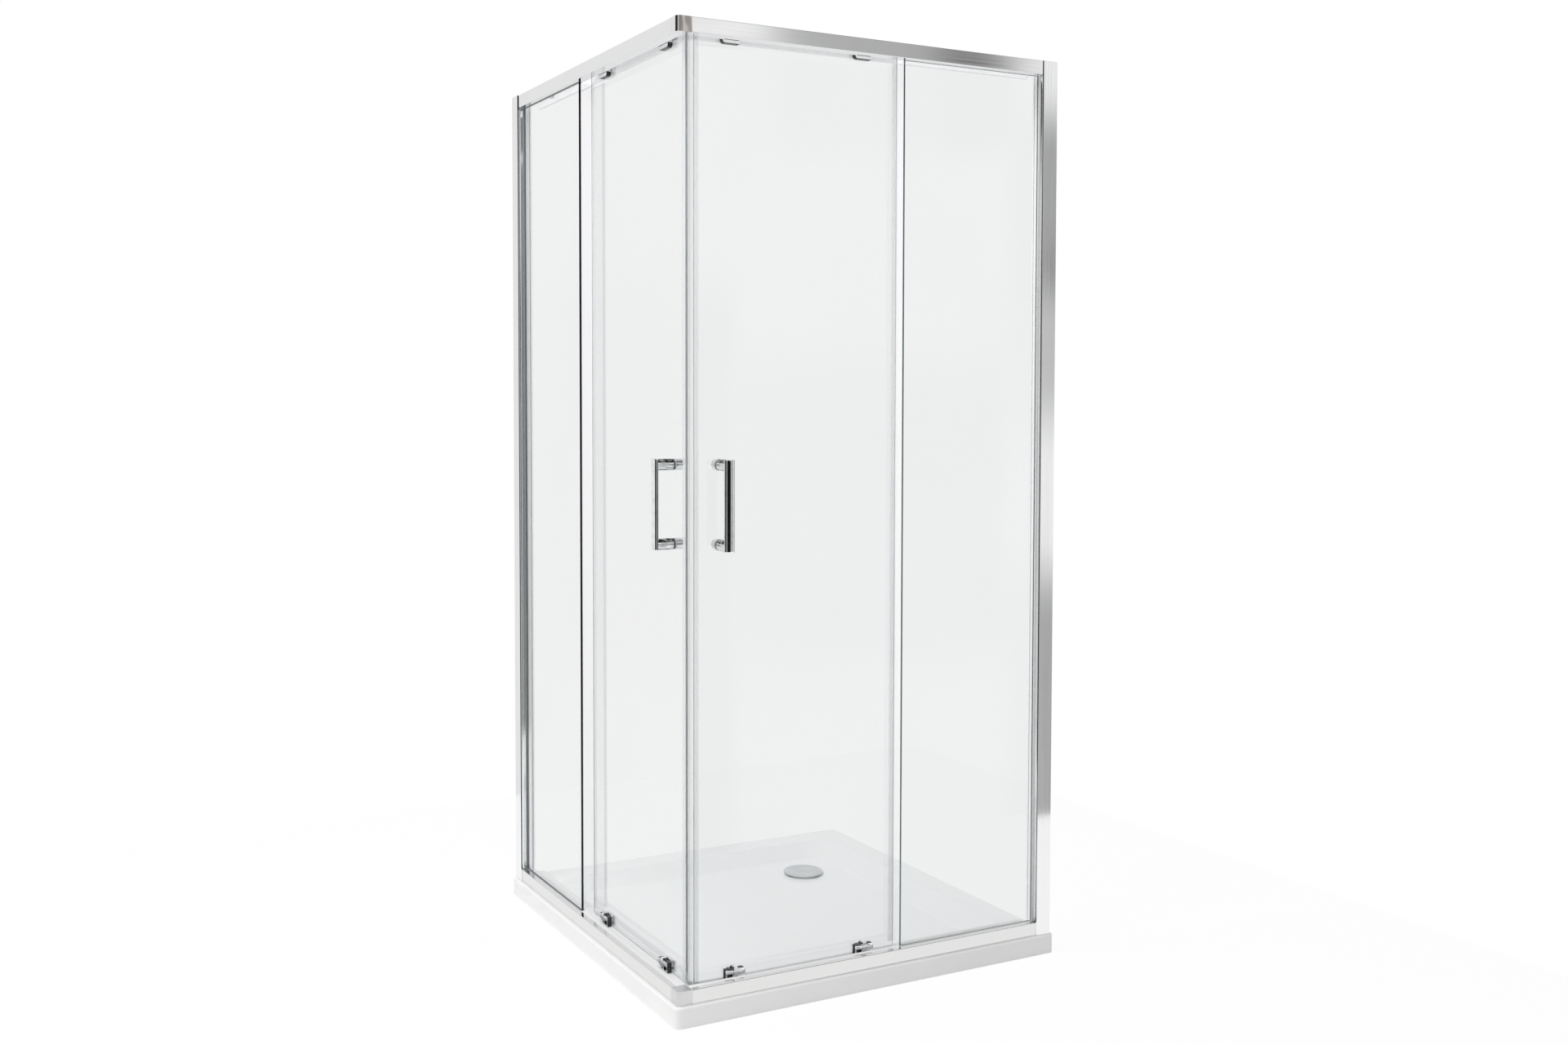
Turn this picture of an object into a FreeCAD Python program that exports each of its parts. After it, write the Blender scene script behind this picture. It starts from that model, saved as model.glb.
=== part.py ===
import FreeCAD, Part
import math
import os

# A square corner-entry shower enclosure on a low tray. Two clear doors slide away from the front corner,
# each behind a fixed panel that stands in a wall profile. Lengths are in millimetres, +Z is up, and the
# origin lies under the middle of the tray. The right-hand glass side runs along X and the left one along Y.
# Each glass side is drawn once: its x is the distance from the entry corner, its y is the depth inward from
# the outer face of the rails, and its z is the height. The left side is the mirror image about the diagonal.

Vector = FreeCAD.Vector
ALONG = Vector(1, 0, 0)
INWARD = Vector(0, 1, 0)
UP = Vector(0, 0, 1)

# Whole object
FRAME_SIDE = 884.0
FRAME_HEIGHT = 1850.0
TRAY_LEDGE = 8.0
TRAY_HEIGHT = 40.0

# Tray
TRAY_RIM = 66.0
TRAY_RECESS = 24.0
TRAY_SLOPE_RUN = 60.0
RECESS_RIM_RADIUS = 85.0
RECESS_FLOOR_RADIUS = 45.0
RECESS_RIM_ROUND = 6.0
RECESS_FLOOR_ROUND = 14.0
TRAY_CORNER_RADIUS = 12.0
TRAY_EDGE_ROUND = 4.0

# Waste and drain cover
DRAIN_SETBACK = 228.0
WASTE_FLANGE_RADIUS = 43.0
WASTE_FLANGE_THICKNESS = 2.5
WASTE_GASKET_THICKNESS = 1.5
WASTE_TAIL_RADIUS = 34.5
WASTE_SEAT_RADIUS = 32.0
WASTE_OUTLET_RADIUS = 30.0
WASTE_OUTLET_LENGTH = 8.0
WASTE_GROUND_GAP = 1.0
WASTE_FIT = 0.5
DRAIN_COVER_RADIUS = 48.0
DRAIN_COVER_THICKNESS = 3.0
DRAIN_COVER_ROUND = 1.2
DRAIN_COVER_STANDOFF = 4.0
DRAIN_FIN_COUNT = 3
DRAIN_FIN_THICKNESS = 3.0
DRAIN_FIN_DEPTH = 5.0
DRAIN_FIN_HUB_RADIUS = 18.0
DRAIN_FOOT_INSET = 2.0

# Rails and wall profiles
FRAME_WALL = 2.0
FASCIA_HEIGHT = 29.0
RAIL_EDGE_ROUND = 1.0
CHANNEL_SETBACK = 12.5
CHANNEL_WEB = 1.5
RUN_SETBACK = 11.0
LIP_HEIGHT = 7.0
LIP_WALL = 1.5
BOTTOM_RAIL_HEIGHT = 28.0
RUN_DROP = 10.0
BOTTOM_CHANNEL_DEPTH = 16.0
GUIDE_RIB_DROP = 1.8
GUIDE_RIB_THICKNESS = 1.6
COVER_LEG_DEPTH = 12.0
COVER_THICKNESS = 1.6
COVER_GAP = 0.2
PROFILE_WIDTH = 36.0
PROFILE_DEPTH = 34.0
PROFILE_PROUD = 2.0
PROFILE_EDGE_ROUND = 1.0
WALL_HOLE_RADIUS = 2.75
WALL_HOLE_INSET = 150.0
HOLDER_WALL = 1.6
HOLDER_BACK = 10.0
HOLDER_LEG = 9.0
HOLDER_FIT = 0.3
HOLDER_ROUND = 6.0

# Corner joints, screws and stops
CORNER_SIDE = 31.0
CORNER_ROUND = 8.0
CORNER_GAP = 0.2
CORNER_PLATE = 3.0
SPIGOT_LENGTH = 25.0
SPIGOT_FIT = 0.3
SCREW_HEAD_RADIUS = 3.8
SCREW_HEAD_THICKNESS = 2.0
SCREW_RADIUS = 1.9
SCREW_LENGTH = 9.0
SCREW_CLEARANCE = 0.3
HOLDER_SCREW_COUNT = 4
HOLDER_SCREW_INSET = 220.0
SCREW_CAP_RADIUS = 5.5
SCREW_CAP_THICKNESS = 3.2
SCREW_CAP_ROUND = 1.0
STOP_LENGTH = 12.0
STOP_DROP = 14.0
STOP_GAP = 1.0

# Glass and gaskets
GLASS = 5.0
GASKET_WALL = 2.0
GASKET_SHOW = 0.8
FIXED_VISIBLE_WIDTH = 336.0
DOOR_OVERLAP = 1.5
DOOR_FOOT_GAP = 2.0
DOOR_HEAD_GAP = 4.5
TRAVEL_MARGIN = 11.7

# Door seals
SEAL_WALL = 2.0
SEAL_GRIP = 8.5
SEAL_NOSE = 5.2
SEAL_END_GAP = 1.5
MITRE_GAP = 0.3
MAGNET_SKIN = 2.0
MAGNET_WIDTH = 3.4
REAR_GRIP = 11.0
REAR_LIP = 2.0
WIPE_GAP = 0.4

# Handles
HANDLE_PLACE = 113.0
HANDLE_FOOT = 854.0
HANDLE_HEIGHT = 176.0
HANDLE_REACH = 38.5
HANDLE_BAR_WIDTH = 22.0
HANDLE_BAR_DEPTH = 7.0
HANDLE_BAR_ROUND = 3.0
HANDLE_POST_RADIUS = 11.0
HANDLE_POST_SINK = 1.0
HANDLE_POST_ROUND = 0.8
HANDLE_KNOB_LENGTH = 14.0
HANDLE_STUD_RADIUS = 4.0
HANDLE_STUD_LENGTH = 12.0
HANDLE_HOLE_RADIUS = 6.0
HANDLE_WASHER = 2.0
HANDLE_WASHER_STEP = 0.6

# Top rollers
ROLLER_NEAR = 132.0
ROLLER_REAR_SETBACK = 85.5
ROLLER_CAP_WIDTH = 42.0
ROLLER_CAP_DROP = 4.0
ROLLER_CAP_CORNER = 10.0
ROLLER_CAP_THICKNESS = 10.0
ROLLER_CAP_ROUND = 1.5
ROLLER_BOSS_RADIUS = 5.2
ROLLER_HOLE_RADIUS = 5.5
RUN_GAP = 1.0
TOP_WHEEL_RADIUS = 9.0
TOP_WHEEL_WIDTH = 6.0
TOP_WHEEL_ROUND = 0.8
RIM_GAP = 0.3
AXLE_RADIUS = 3.0
AXLE_GRIP = 6.0
COLLAR_RADIUS = 6.0
COLLAR_THICKNESS = 1.2
AXLE_HEAD_RADIUS = 5.0
AXLE_HEAD_THICKNESS = 1.6
AXLE_HEAD_GAP = 0.4
AXIAL_GAP = 0.2
RUNNING_FIT = 0.05

# Bottom guides
GUIDE_SHIFT = 9.0
GUIDE_WIDTH = 44.0
GUIDE_HEIGHT = 20.0
GUIDE_RAIL_GAP = 1.0
GUIDE_FLOOR = 2.0
GUIDE_BACK = 2.0
GUIDE_ROUND = 2.5
NOTCH_MARGIN = 5.0
NOTCH_WIDTH = 11.0
NOTCH_DEPTH = 4.0
NOTCH_FLOOR = 2.5
NOTCH_HEIGHT = 8.0
GUIDE_SLEEVE_RADIUS = 5.4
GUIDE_HOLE_GAP = 0.4
GUIDE_PLATE_RADIUS = 10.0
GUIDE_PLATE_THICKNESS = 2.5
PRESS_TRAVEL = 3.0
PRESS_SPARE = 1.0
SLIDE_FIT = 0.3
THUMB_WIDTH = 8.0
THUMB_PROUD = 1.5
THUMB_RISE = 4.5
THUMB_ROUND = 0.8
STEM_WIDTH = 5.0
STEM_HEIGHT = 3.0
STEM_PLACE = 14.0
CARRIER_WIDTH = 14.0
CARRIER_THICKNESS = 2.5
CARRIER_GAP = 0.8
CARRIER_DROP = 4.0
SPRING_LEAF = 0.8
SPRING_REST_GAP = 0.1
GUIDE_GROUND_GAP = 1.5
GUIDE_WHEEL_WIDTH = 6.0
GUIDE_WHEEL_GAP = 1.0
GUIDE_TOP_GAP = 0.5
GROOVE_SIDE_GAP = 0.4
GROOVE_ROOT_GAP = 0.4
GUIDE_AXLE_RADIUS = 1.6
GUIDE_HEAD_RADIUS = 2.5
GUIDE_COLLAR_RADIUS = 2.8

# Allowances of the drawing itself
OVERRUN = 1.0
SAME_PLACE = 0.01

# Heights
FLOOR = TRAY_HEIGHT - TRAY_RECESS
FOOT = TRAY_HEIGHT
TOP = FOOT + FRAME_HEIGHT
RAIL_TOP = FOOT + BOTTOM_RAIL_HEIGHT
CHANNEL_FLOOR = RAIL_TOP - BOTTOM_CHANNEL_DEPTH
SILL_ROOF = RAIL_TOP - FRAME_WALL
RUN_TOP = RAIL_TOP - RUN_DROP
LIP_UNDERSIDE = RUN_TOP - FRAME_WALL
RIB_FOOT = LIP_UNDERSIDE - GUIDE_RIB_DROP
SOFFIT = TOP - FASCIA_HEIGHT
LIP_TOP = SOFFIT + LIP_HEIGHT
ROLLER_HEIGHT = LIP_TOP + RIM_GAP + TOP_WHEEL_RADIUS
SPIGOT_FOOT = SOFFIT + COVER_LEG_DEPTH + SPIGOT_FIT
SPIGOT_HEAD = TOP - FRAME_WALL - SPIGOT_FIT
FIXED_FOOT = CHANNEL_FLOOR + GASKET_WALL
FIXED_HEAD = TOP - FRAME_WALL - GASKET_WALL
DOOR_FOOT = RUN_TOP + DOOR_FOOT_GAP
DOOR_HEAD = TOP - DOOR_HEAD_GAP
SEAL_FOOT = RUN_TOP + SEAL_END_GAP
SEAL_HEAD = TOP - FRAME_WALL - SEAL_END_GAP
GASKET_FOOT_EDGE = RAIL_TOP + GASKET_SHOW
GASKET_HEAD_EDGE = SOFFIT - GASKET_SHOW
HANDLE_BASE = FOOT + HANDLE_FOOT
HANDLE_HEIGHTS = (HANDLE_BASE + HANDLE_POST_RADIUS, HANDLE_BASE + HANDLE_HEIGHT - HANDLE_POST_RADIUS)
GUIDE_WHEEL_TOP = LIP_UNDERSIDE - GUIDE_TOP_GAP
GUIDE_WHEEL_FOOT = FOOT + GUIDE_GROUND_GAP + PRESS_TRAVEL
GUIDE_WHEEL_RADIUS = (GUIDE_WHEEL_TOP - GUIDE_WHEEL_FOOT) / 2
GUIDE_WHEEL_HEIGHT = GUIDE_WHEEL_TOP - GUIDE_WHEEL_RADIUS
GUIDE_FOOT = RUN_TOP + GUIDE_RAIL_GAP
GUIDE_HEAD = GUIDE_FOOT + GUIDE_HEIGHT
STEM_HEIGHT_PLACE = GUIDE_FOOT + STEM_PLACE
GUIDE_HOLE_HEIGHT = STEM_HEIGHT_PLACE - PRESS_TRAVEL / 2
THUMB_FOOT = GUIDE_FOOT + GUIDE_FLOOR + PRESS_TRAVEL + PRESS_SPARE
THUMB_HEAD = GUIDE_HEAD + THUMB_RISE

# Depths, inward from the outer face of the rails
CHANNEL_FRONT = CHANNEL_SETBACK
FIXED_FRONT = CHANNEL_FRONT + GASKET_WALL
FIXED_BACK = FIXED_FRONT + GLASS
CHANNEL_BACK = FIXED_BACK + GASKET_WALL
WEB_BACK = CHANNEL_BACK + CHANNEL_WEB
RUN_FRONT = WEB_BACK + RUN_SETBACK
DOOR_FRONT = RUN_FRONT + ROLLER_CAP_THICKNESS
DOOR_BACK = DOOR_FRONT + GLASS
SEAL_FRONT = DOOR_FRONT - SEAL_WALL
SEAL_BACK = DOOR_BACK + SEAL_WALL
TOP_WHEEL_FRONT = DOOR_BACK + COLLAR_THICKNESS + AXIAL_GAP
TOP_WHEEL_BACK = TOP_WHEEL_FRONT + TOP_WHEEL_WIDTH
BACK_LEG_FRONT = TOP_WHEEL_BACK + RUN_GAP
RAIL_DEPTH = BACK_LEG_FRONT + FRAME_WALL
LIP_FRONT = SEAL_BACK + WIPE_GAP
BASE_DEPTH = SEAL_BACK
GUIDE_WHEEL_FRONT = BASE_DEPTH + GUIDE_WHEEL_GAP
GUIDE_WHEEL_BACK = GUIDE_WHEEL_FRONT + GUIDE_WHEEL_WIDTH
GUIDE_WHEEL_MIDDLE = GUIDE_WHEEL_FRONT + GUIDE_WHEEL_WIDTH / 2
CARRIER_FRONT = max(RAIL_DEPTH, GUIDE_WHEEL_BACK) + CARRIER_GAP
CARRIER_BACK = CARRIER_FRONT + CARRIER_THICKNESS
HANDLE_BAR_FRONT = DOOR_FRONT - HANDLE_REACH - HANDLE_BAR_DEPTH / 2
HANDLE_BAR_BACK = HANDLE_BAR_FRONT + HANDLE_BAR_DEPTH

# Places along a side, from the entry corner
RAIL_START = CORNER_SIDE
PROFILE_FRONT = FRAME_SIDE - PROFILE_WIDTH
RAIL_SPAN = (RAIL_START, PROFILE_FRONT)
PAST_ENDS = (RAIL_START - OVERRUN, PROFILE_FRONT + OVERRUN)
FIXED_EDGE = PROFILE_FRONT - FIXED_VISIBLE_WIDTH
HOLDER_FACE = PROFILE_FRONT + HOLDER_LEG + GASKET_WALL
FIXED_END = HOLDER_FACE - GASKET_WALL
GASKET_JAMB_EDGE = PROFILE_FRONT - GASKET_SHOW
DOOR_TRAIL = FIXED_EDGE + DOOR_OVERLAP
DOOR_LEAD = SEAL_BACK + MITRE_GAP + SEAL_NOSE
DOOR_TRAVEL = GASKET_JAMB_EDGE - DOOR_TRAIL - REAR_LIP - TRAVEL_MARGIN
ROLLER_FAR = DOOR_TRAIL - ROLLER_REAR_SETBACK
ROLLER_STATIONS = {"near": ROLLER_NEAR, "far": ROLLER_FAR}
GUIDE_STATIONS = {name: place + GUIDE_SHIFT for name, place in ROLLER_STATIONS.items()}
SPIGOT_END = RAIL_DEPTH + SPIGOT_LENGTH
CORNER_SCREW_PLACE = RAIL_DEPTH + SPIGOT_LENGTH / 2
TOP_SCREW_HEIGHT = (SPIGOT_FOOT + SPIGOT_HEAD) / 2
BOTTOM_SCREW_HEIGHT = (FOOT + LIP_UNDERSIDE) / 2
HOLDER_SCREW_PLACE = HOLDER_FACE + HOLDER_BACK / 2

# Tray
TRAY_SIDE = FRAME_SIDE + 2 * TRAY_LEDGE
DRAIN_PLACE = TRAY_SIDE / 2 - DRAIN_SETBACK
WASTE_GASKET_TOP = FLOOR - WASTE_FLANGE_THICKNESS
WASTE_SEAT = WASTE_GASKET_TOP - WASTE_GASKET_THICKNESS
WASTE_HOLE_RADIUS = WASTE_TAIL_RADIUS + WASTE_FIT
WASTE_OUTLET_TOP = WASTE_GROUND_GAP + WASTE_OUTLET_LENGTH


def block(along, inward, up):
    """A box from three (low, high) spans."""
    low = Vector(along[0], inward[0], up[0])
    return Part.makeBox(along[1] - along[0], inward[1] - inward[0], up[1] - up[0], low)


def rod(place, height, radius, inward):
    """A round bar that lies along the depth."""
    return Part.makeCylinder(radius, inward[1] - inward[0], Vector(place, inward[0], height), INWARD)


def upright(points, up):
    """An outline of (place, depth) points, drawn up through a span of heights."""
    corners = [Vector(place, depth, up[0]) for place, depth in points]
    face = Part.Face(Part.makePolygon(corners + corners[:1]))
    return face.extrude(UP * (up[1] - up[0]))


def lengthwise(points, along):
    """An outline of (depth, height) points, drawn along a span of the side."""
    corners = [Vector(along[0], depth, height) for depth, height in points]
    face = Part.Face(Part.makePolygon(corners + corners[:1]))
    return face.extrude(ALONG * (along[1] - along[0]))


def edges_at(shape, place=None, depth=None, height=None):
    """The edges that lie wholly at the given place, depth and height."""
    found = []
    for edge in shape.Edges:
        span = edge.BoundBox
        wanted = [
            (place, span.XMin, span.XMax),
            (depth, span.YMin, span.YMax),
            (height, span.ZMin, span.ZMax),
        ]
        if all(at is None or max(abs(low - at), abs(high - at)) < SAME_PLACE for at, low, high in wanted):
            found.append(edge)
    return found


def across_diagonal(shape):
    """The mirror image about the upright plane through the entry corner's diagonal."""
    return shape.mirror(Vector(0, 0, 0), Vector(1, -1, 0))


def at_corner(shape):
    """A side's own drawing, moved so that it starts at the entry corner."""
    moved = shape.copy()
    moved.translate(Vector(-FRAME_SIDE / 2, -FRAME_SIDE / 2, 0))
    return moved


def on_right(shape):
    return at_corner(shape)


def on_left(shape):
    return at_corner(across_diagonal(shape))


SIDES = {"right": on_right, "left": on_left}


def save(node, *shapes):
    """Writes one node, made of all the solids of the given shapes."""
    solids = [solid for shape in shapes for solid in shape.Solids]
    whole = solids[0] if len(solids) == 1 else Part.makeCompound(solids)
    whole.exportStep(f"parts/{node}.step")


def rounded_square(half, radius, height):
    """A square wire with round corners, centred over the origin."""
    inner = half - radius
    middle = inner + radius * math.sqrt(0.5)
    edges = []
    for turn in range(4):
        spin = FreeCAD.Rotation(UP, 90 * turn)
        start = spin.multVec(Vector(half, -inner, height))
        bend = spin.multVec(Vector(half, inner, height))
        corner = spin.multVec(Vector(middle, middle, height))
        leave = spin.multVec(Vector(inner, half, height))
        edges.append(Part.LineSegment(start, bend).toShape())
        edges.append(Part.Arc(bend, corner, leave).toShape())
    return Part.Wire(edges)


# Tray and waste

def drain_cylinder(radius, up):
    return Part.makeCylinder(radius, up[1] - up[0], Vector(DRAIN_PLACE, DRAIN_PLACE, up[0]))


def shower_tray():
    half = TRAY_SIDE / 2
    slab = block((-half, half), (-half, half), (0, TRAY_HEIGHT))
    slab = slab.makeFillet(TRAY_CORNER_RADIUS, edges_at(slab, -half, -half) + edges_at(slab, half, -half)
                           + edges_at(slab, -half, half) + edges_at(slab, half, half))
    slab = slab.makeFillet(TRAY_EDGE_ROUND, edges_at(slab, height=TRAY_HEIGHT))
    rim_half = half - TRAY_RIM
    floor_wire = rounded_square(rim_half - TRAY_SLOPE_RUN, RECESS_FLOOR_RADIUS, FLOOR)
    rim_wire = rounded_square(rim_half, RECESS_RIM_RADIUS, TRAY_HEIGHT)
    tray = slab.cut(Part.makeLoft([floor_wire, rim_wire], True, True))
    inner_rim = [edge for edge in edges_at(tray, height=TRAY_HEIGHT) if inside_rim(edge, rim_half)]
    tray = tray.makeFillet(RECESS_RIM_ROUND, inner_rim)
    tray = tray.makeFillet(RECESS_FLOOR_ROUND, edges_at(tray, height=FLOOR))
    tray = tray.cut(drain_cylinder(WASTE_HOLE_RADIUS, (-OVERRUN, FLOOR)))
    return tray.cut(drain_cylinder(WASTE_FLANGE_RADIUS + WASTE_FIT, (WASTE_SEAT, FLOOR + OVERRUN)))


def inside_rim(edge, half):
    span = edge.BoundBox
    reach = max(abs(span.XMin), abs(span.XMax), abs(span.YMin), abs(span.YMax))
    return reach < half + SAME_PLACE


def waste_flange():
    flange = drain_cylinder(WASTE_FLANGE_RADIUS, (WASTE_GASKET_TOP, FLOOR))
    tail = drain_cylinder(WASTE_TAIL_RADIUS, (WASTE_GROUND_GAP, FLOOR))
    seat = drain_cylinder(WASTE_SEAT_RADIUS, (WASTE_OUTLET_TOP, FLOOR + OVERRUN))
    outlet = drain_cylinder(WASTE_OUTLET_RADIUS, (0, FLOOR))
    return flange.fuse(tail).cut(seat).cut(outlet).removeSplitter()


def waste_gasket():
    ring = drain_cylinder(WASTE_FLANGE_RADIUS, (WASTE_SEAT, WASTE_GASKET_TOP))
    return ring.cut(drain_cylinder(WASTE_HOLE_RADIUS, (0, FLOOR)))


def drain_cover():
    """A flat lid on three fins, which stand on the flange and reach into its seat."""
    underside = FLOOR + DRAIN_COVER_STANDOFF
    lid_top = underside + DRAIN_COVER_THICKNESS
    cover = drain_cylinder(DRAIN_COVER_RADIUS, (underside, lid_top))
    cover = cover.makeFillet(DRAIN_COVER_ROUND, edges_at(cover, height=lid_top))
    centre = Vector(DRAIN_PLACE, DRAIN_PLACE, 0)
    side = (DRAIN_PLACE - DRAIN_FIN_THICKNESS / 2, DRAIN_PLACE + DRAIN_FIN_THICKNESS / 2)
    fin_reach = (DRAIN_PLACE + DRAIN_FIN_HUB_RADIUS, DRAIN_PLACE + WASTE_SEAT_RADIUS - WASTE_FIT)
    foot_reach = (fin_reach[0], DRAIN_PLACE + WASTE_FLANGE_RADIUS - DRAIN_FOOT_INSET)
    fin = block(fin_reach, side, (FLOOR - DRAIN_FIN_DEPTH, underside + DRAIN_COVER_THICKNESS / 2))
    foot = block(foot_reach, side, (FLOOR, underside + DRAIN_COVER_THICKNESS / 2))
    leg = fin.fuse(foot)
    for number in range(DRAIN_FIN_COUNT):
        turned = leg.copy()
        turned.rotate(centre, UP, 360 * number / DRAIN_FIN_COUNT)
        cover = cover.fuse(turned)
    return cover.removeSplitter()


# Rails, corner joints and wall profiles

def past_mitre():
    """The space beyond the corner's diagonal, which the other side's rail takes."""
    start = -OVERRUN
    end = RAIL_DEPTH + OVERRUN
    outline = [(start, start), (start + CORNER_GAP, start), (end + CORNER_GAP, end), (start, end)]
    return upright(outline, (-OVERRUN, TOP + OVERRUN))


def top_rail():
    """A hollow fascia, a channel for the fixed glass, and a run whose hollow lip carries the wheels."""
    outline = [
        (0, SOFFIT),
        (0, TOP),
        (RAIL_DEPTH, TOP),
        (RAIL_DEPTH, SOFFIT),
        (LIP_FRONT, SOFFIT),
        (LIP_FRONT, LIP_TOP),
        (BACK_LEG_FRONT, LIP_TOP),
        (BACK_LEG_FRONT, TOP - FRAME_WALL),
        (WEB_BACK, TOP - FRAME_WALL),
        (WEB_BACK, SOFFIT),
        (CHANNEL_BACK, SOFFIT),
        (CHANNEL_BACK, TOP - FRAME_WALL),
        (CHANNEL_FRONT, TOP - FRAME_WALL),
        (CHANNEL_FRONT, SOFFIT),
    ]
    rail = lengthwise(outline, RAIL_SPAN)
    outer_edges = edges_at(rail, depth=0, height=TOP) + edges_at(rail, depth=RAIL_DEPTH, height=TOP)
    outer_edges += edges_at(rail, depth=0, height=SOFFIT)
    rail = rail.makeFillet(RAIL_EDGE_ROUND, outer_edges)
    chamber = (FRAME_WALL, CHANNEL_FRONT - FRAME_WALL)
    rail = rail.cut(block(PAST_ENDS, chamber, (SOFFIT + FRAME_WALL, TOP - FRAME_WALL)))
    lip_hollow = (LIP_FRONT + LIP_WALL, RAIL_DEPTH - FRAME_WALL)
    rail = rail.cut(block(PAST_ENDS, lip_hollow, (SOFFIT + LIP_WALL, LIP_TOP - LIP_WALL)))
    rail = rail.cut(past_mitre())
    return rail.cut(clearance_hole(CORNER_SCREW_PLACE, TOP_SCREW_HEIGHT, (CHANNEL_BACK, WEB_BACK)))


def bottom_rail():
    """A hollow sill with a channel for the fixed glass, and a lower run whose lip and rib guide the door."""
    rib = (GUIDE_WHEEL_MIDDLE - GUIDE_RIB_THICKNESS / 2, GUIDE_WHEEL_MIDDLE + GUIDE_RIB_THICKNESS / 2)
    outline = [
        (0, FOOT),
        (0, RAIL_TOP),
        (CHANNEL_FRONT, RAIL_TOP),
        (CHANNEL_FRONT, CHANNEL_FLOOR),
        (CHANNEL_BACK, CHANNEL_FLOOR),
        (CHANNEL_BACK, RAIL_TOP),
        (WEB_BACK, RAIL_TOP),
        (WEB_BACK, RUN_TOP),
        (RAIL_DEPTH, RUN_TOP),
        (RAIL_DEPTH, LIP_UNDERSIDE),
        (rib[1], LIP_UNDERSIDE),
        (rib[1], RIB_FOOT),
        (rib[0], RIB_FOOT),
        (rib[0], LIP_UNDERSIDE),
        (BASE_DEPTH, LIP_UNDERSIDE),
        (BASE_DEPTH, FOOT),
    ]
    rail = lengthwise(outline, RAIL_SPAN)
    rail = rail.makeFillet(RAIL_EDGE_ROUND, edges_at(rail, depth=0, height=RAIL_TOP))
    back_wall = (BASE_DEPTH - FRAME_WALL, BASE_DEPTH)
    sole = FOOT + FRAME_WALL
    rail = rail.cut(block(PAST_ENDS, (FRAME_WALL, CHANNEL_BACK), (sole, CHANNEL_FLOOR - FRAME_WALL)))
    rail = rail.cut(block(PAST_ENDS, (FRAME_WALL, CHANNEL_FRONT - FRAME_WALL), (sole, SILL_ROOF)))
    rail = rail.cut(block(PAST_ENDS, (WEB_BACK, back_wall[0]), (sole, LIP_UNDERSIDE)))
    rail = rail.cut(past_mitre())
    return rail.cut(clearance_hole(CORNER_SCREW_PLACE, BOTTOM_SCREW_HEIGHT, back_wall))


def channel_strip(mouth, inside):
    """A strip with two legs, which closes a glass channel from its mouth's height towards its inside."""
    leg_end = mouth + inside * COVER_LEG_DEPTH
    web = mouth + inside * COVER_THICKNESS
    inner_front = CHANNEL_FRONT + COVER_THICKNESS
    inner_back = CHANNEL_BACK - COVER_THICKNESS
    outline = [
        (CHANNEL_FRONT, leg_end),
        (CHANNEL_FRONT, mouth),
        (CHANNEL_BACK, mouth),
        (CHANNEL_BACK, leg_end),
        (inner_back, leg_end),
        (inner_back, web),
        (inner_front, web),
        (inner_front, leg_end),
    ]
    return lengthwise(outline, (RAIL_START, FIXED_EDGE - COVER_GAP))


def channel_covers():
    """The strips that close both rails' glass channels in front of the door."""
    return [channel_strip(RAIL_TOP, -1), channel_strip(SOFFIT, 1)]


def clearance_hole(place, height, inward):
    return rod(place, height, SCREW_RADIUS + SCREW_CLEARANCE, (inward[0] - OVERRUN, inward[1] + OVERRUN))


def frame_screw(place, height, seat):
    """A pan-head screw driven outward from inside the shower, with its head on the seat."""
    head = rod(place, height, SCREW_HEAD_RADIUS, (seat, seat + SCREW_HEAD_THICKNESS))
    shank = rod(place, height, SCREW_RADIUS, (seat - SCREW_LENGTH, seat))
    return head.fuse(shank).removeSplitter()


def top_corner_screw():
    return frame_screw(CORNER_SCREW_PLACE, TOP_SCREW_HEIGHT, WEB_BACK)


def bottom_corner_screw():
    return frame_screw(CORNER_SCREW_PLACE, BOTTOM_SCREW_HEIGHT, BASE_DEPTH)


def corner_block(low, high):
    """A square block between the two rails' fascias, with its outer upright edge rounded."""
    whole = block((0, CORNER_SIDE), (0, CORNER_SIDE), (low, high))
    return whole.makeFillet(CORNER_ROUND, edges_at(whole, place=0, depth=0))


def top_corner_joint():
    """A solid corner with a spigot into the glass channel of each rail."""
    corner = corner_block(SOFFIT, TOP)
    spigot = block(
        (CORNER_ROUND, SPIGOT_END),
        (CHANNEL_FRONT + SPIGOT_FIT, CHANNEL_BACK - SPIGOT_FIT),
        (SPIGOT_FOOT, SPIGOT_HEAD),
    )
    spigot = spigot.cut(top_corner_screw())
    return corner.fuse(spigot).fuse(across_diagonal(spigot)).removeSplitter()


def bottom_corner_joint():
    """A solid corner with a spigot into the back chamber of each rail."""
    corner = corner_block(FOOT, RAIL_TOP)
    spigot = block(
        (RAIL_START - CORNER_PLATE, SPIGOT_END),
        (WEB_BACK + SPIGOT_FIT, BASE_DEPTH - FRAME_WALL - SPIGOT_FIT),
        (FOOT + FRAME_WALL + SPIGOT_FIT, LIP_UNDERSIDE - SPIGOT_FIT),
    )
    spigot = spigot.cut(bottom_corner_screw())
    return corner.fuse(spigot).fuse(across_diagonal(spigot)).removeSplitter()


def spread(low, high, count):
    """Evenly spaced places from low to high."""
    return [low + (high - low) * number / (count - 1) for number in range(count)]


def wall_holes():
    """The heights of the holes for the screws into the wall: foot, middle and head."""
    return (FOOT + WALL_HOLE_INSET, (FOOT + TOP) / 2, TOP - WALL_HOLE_INSET)


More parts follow.
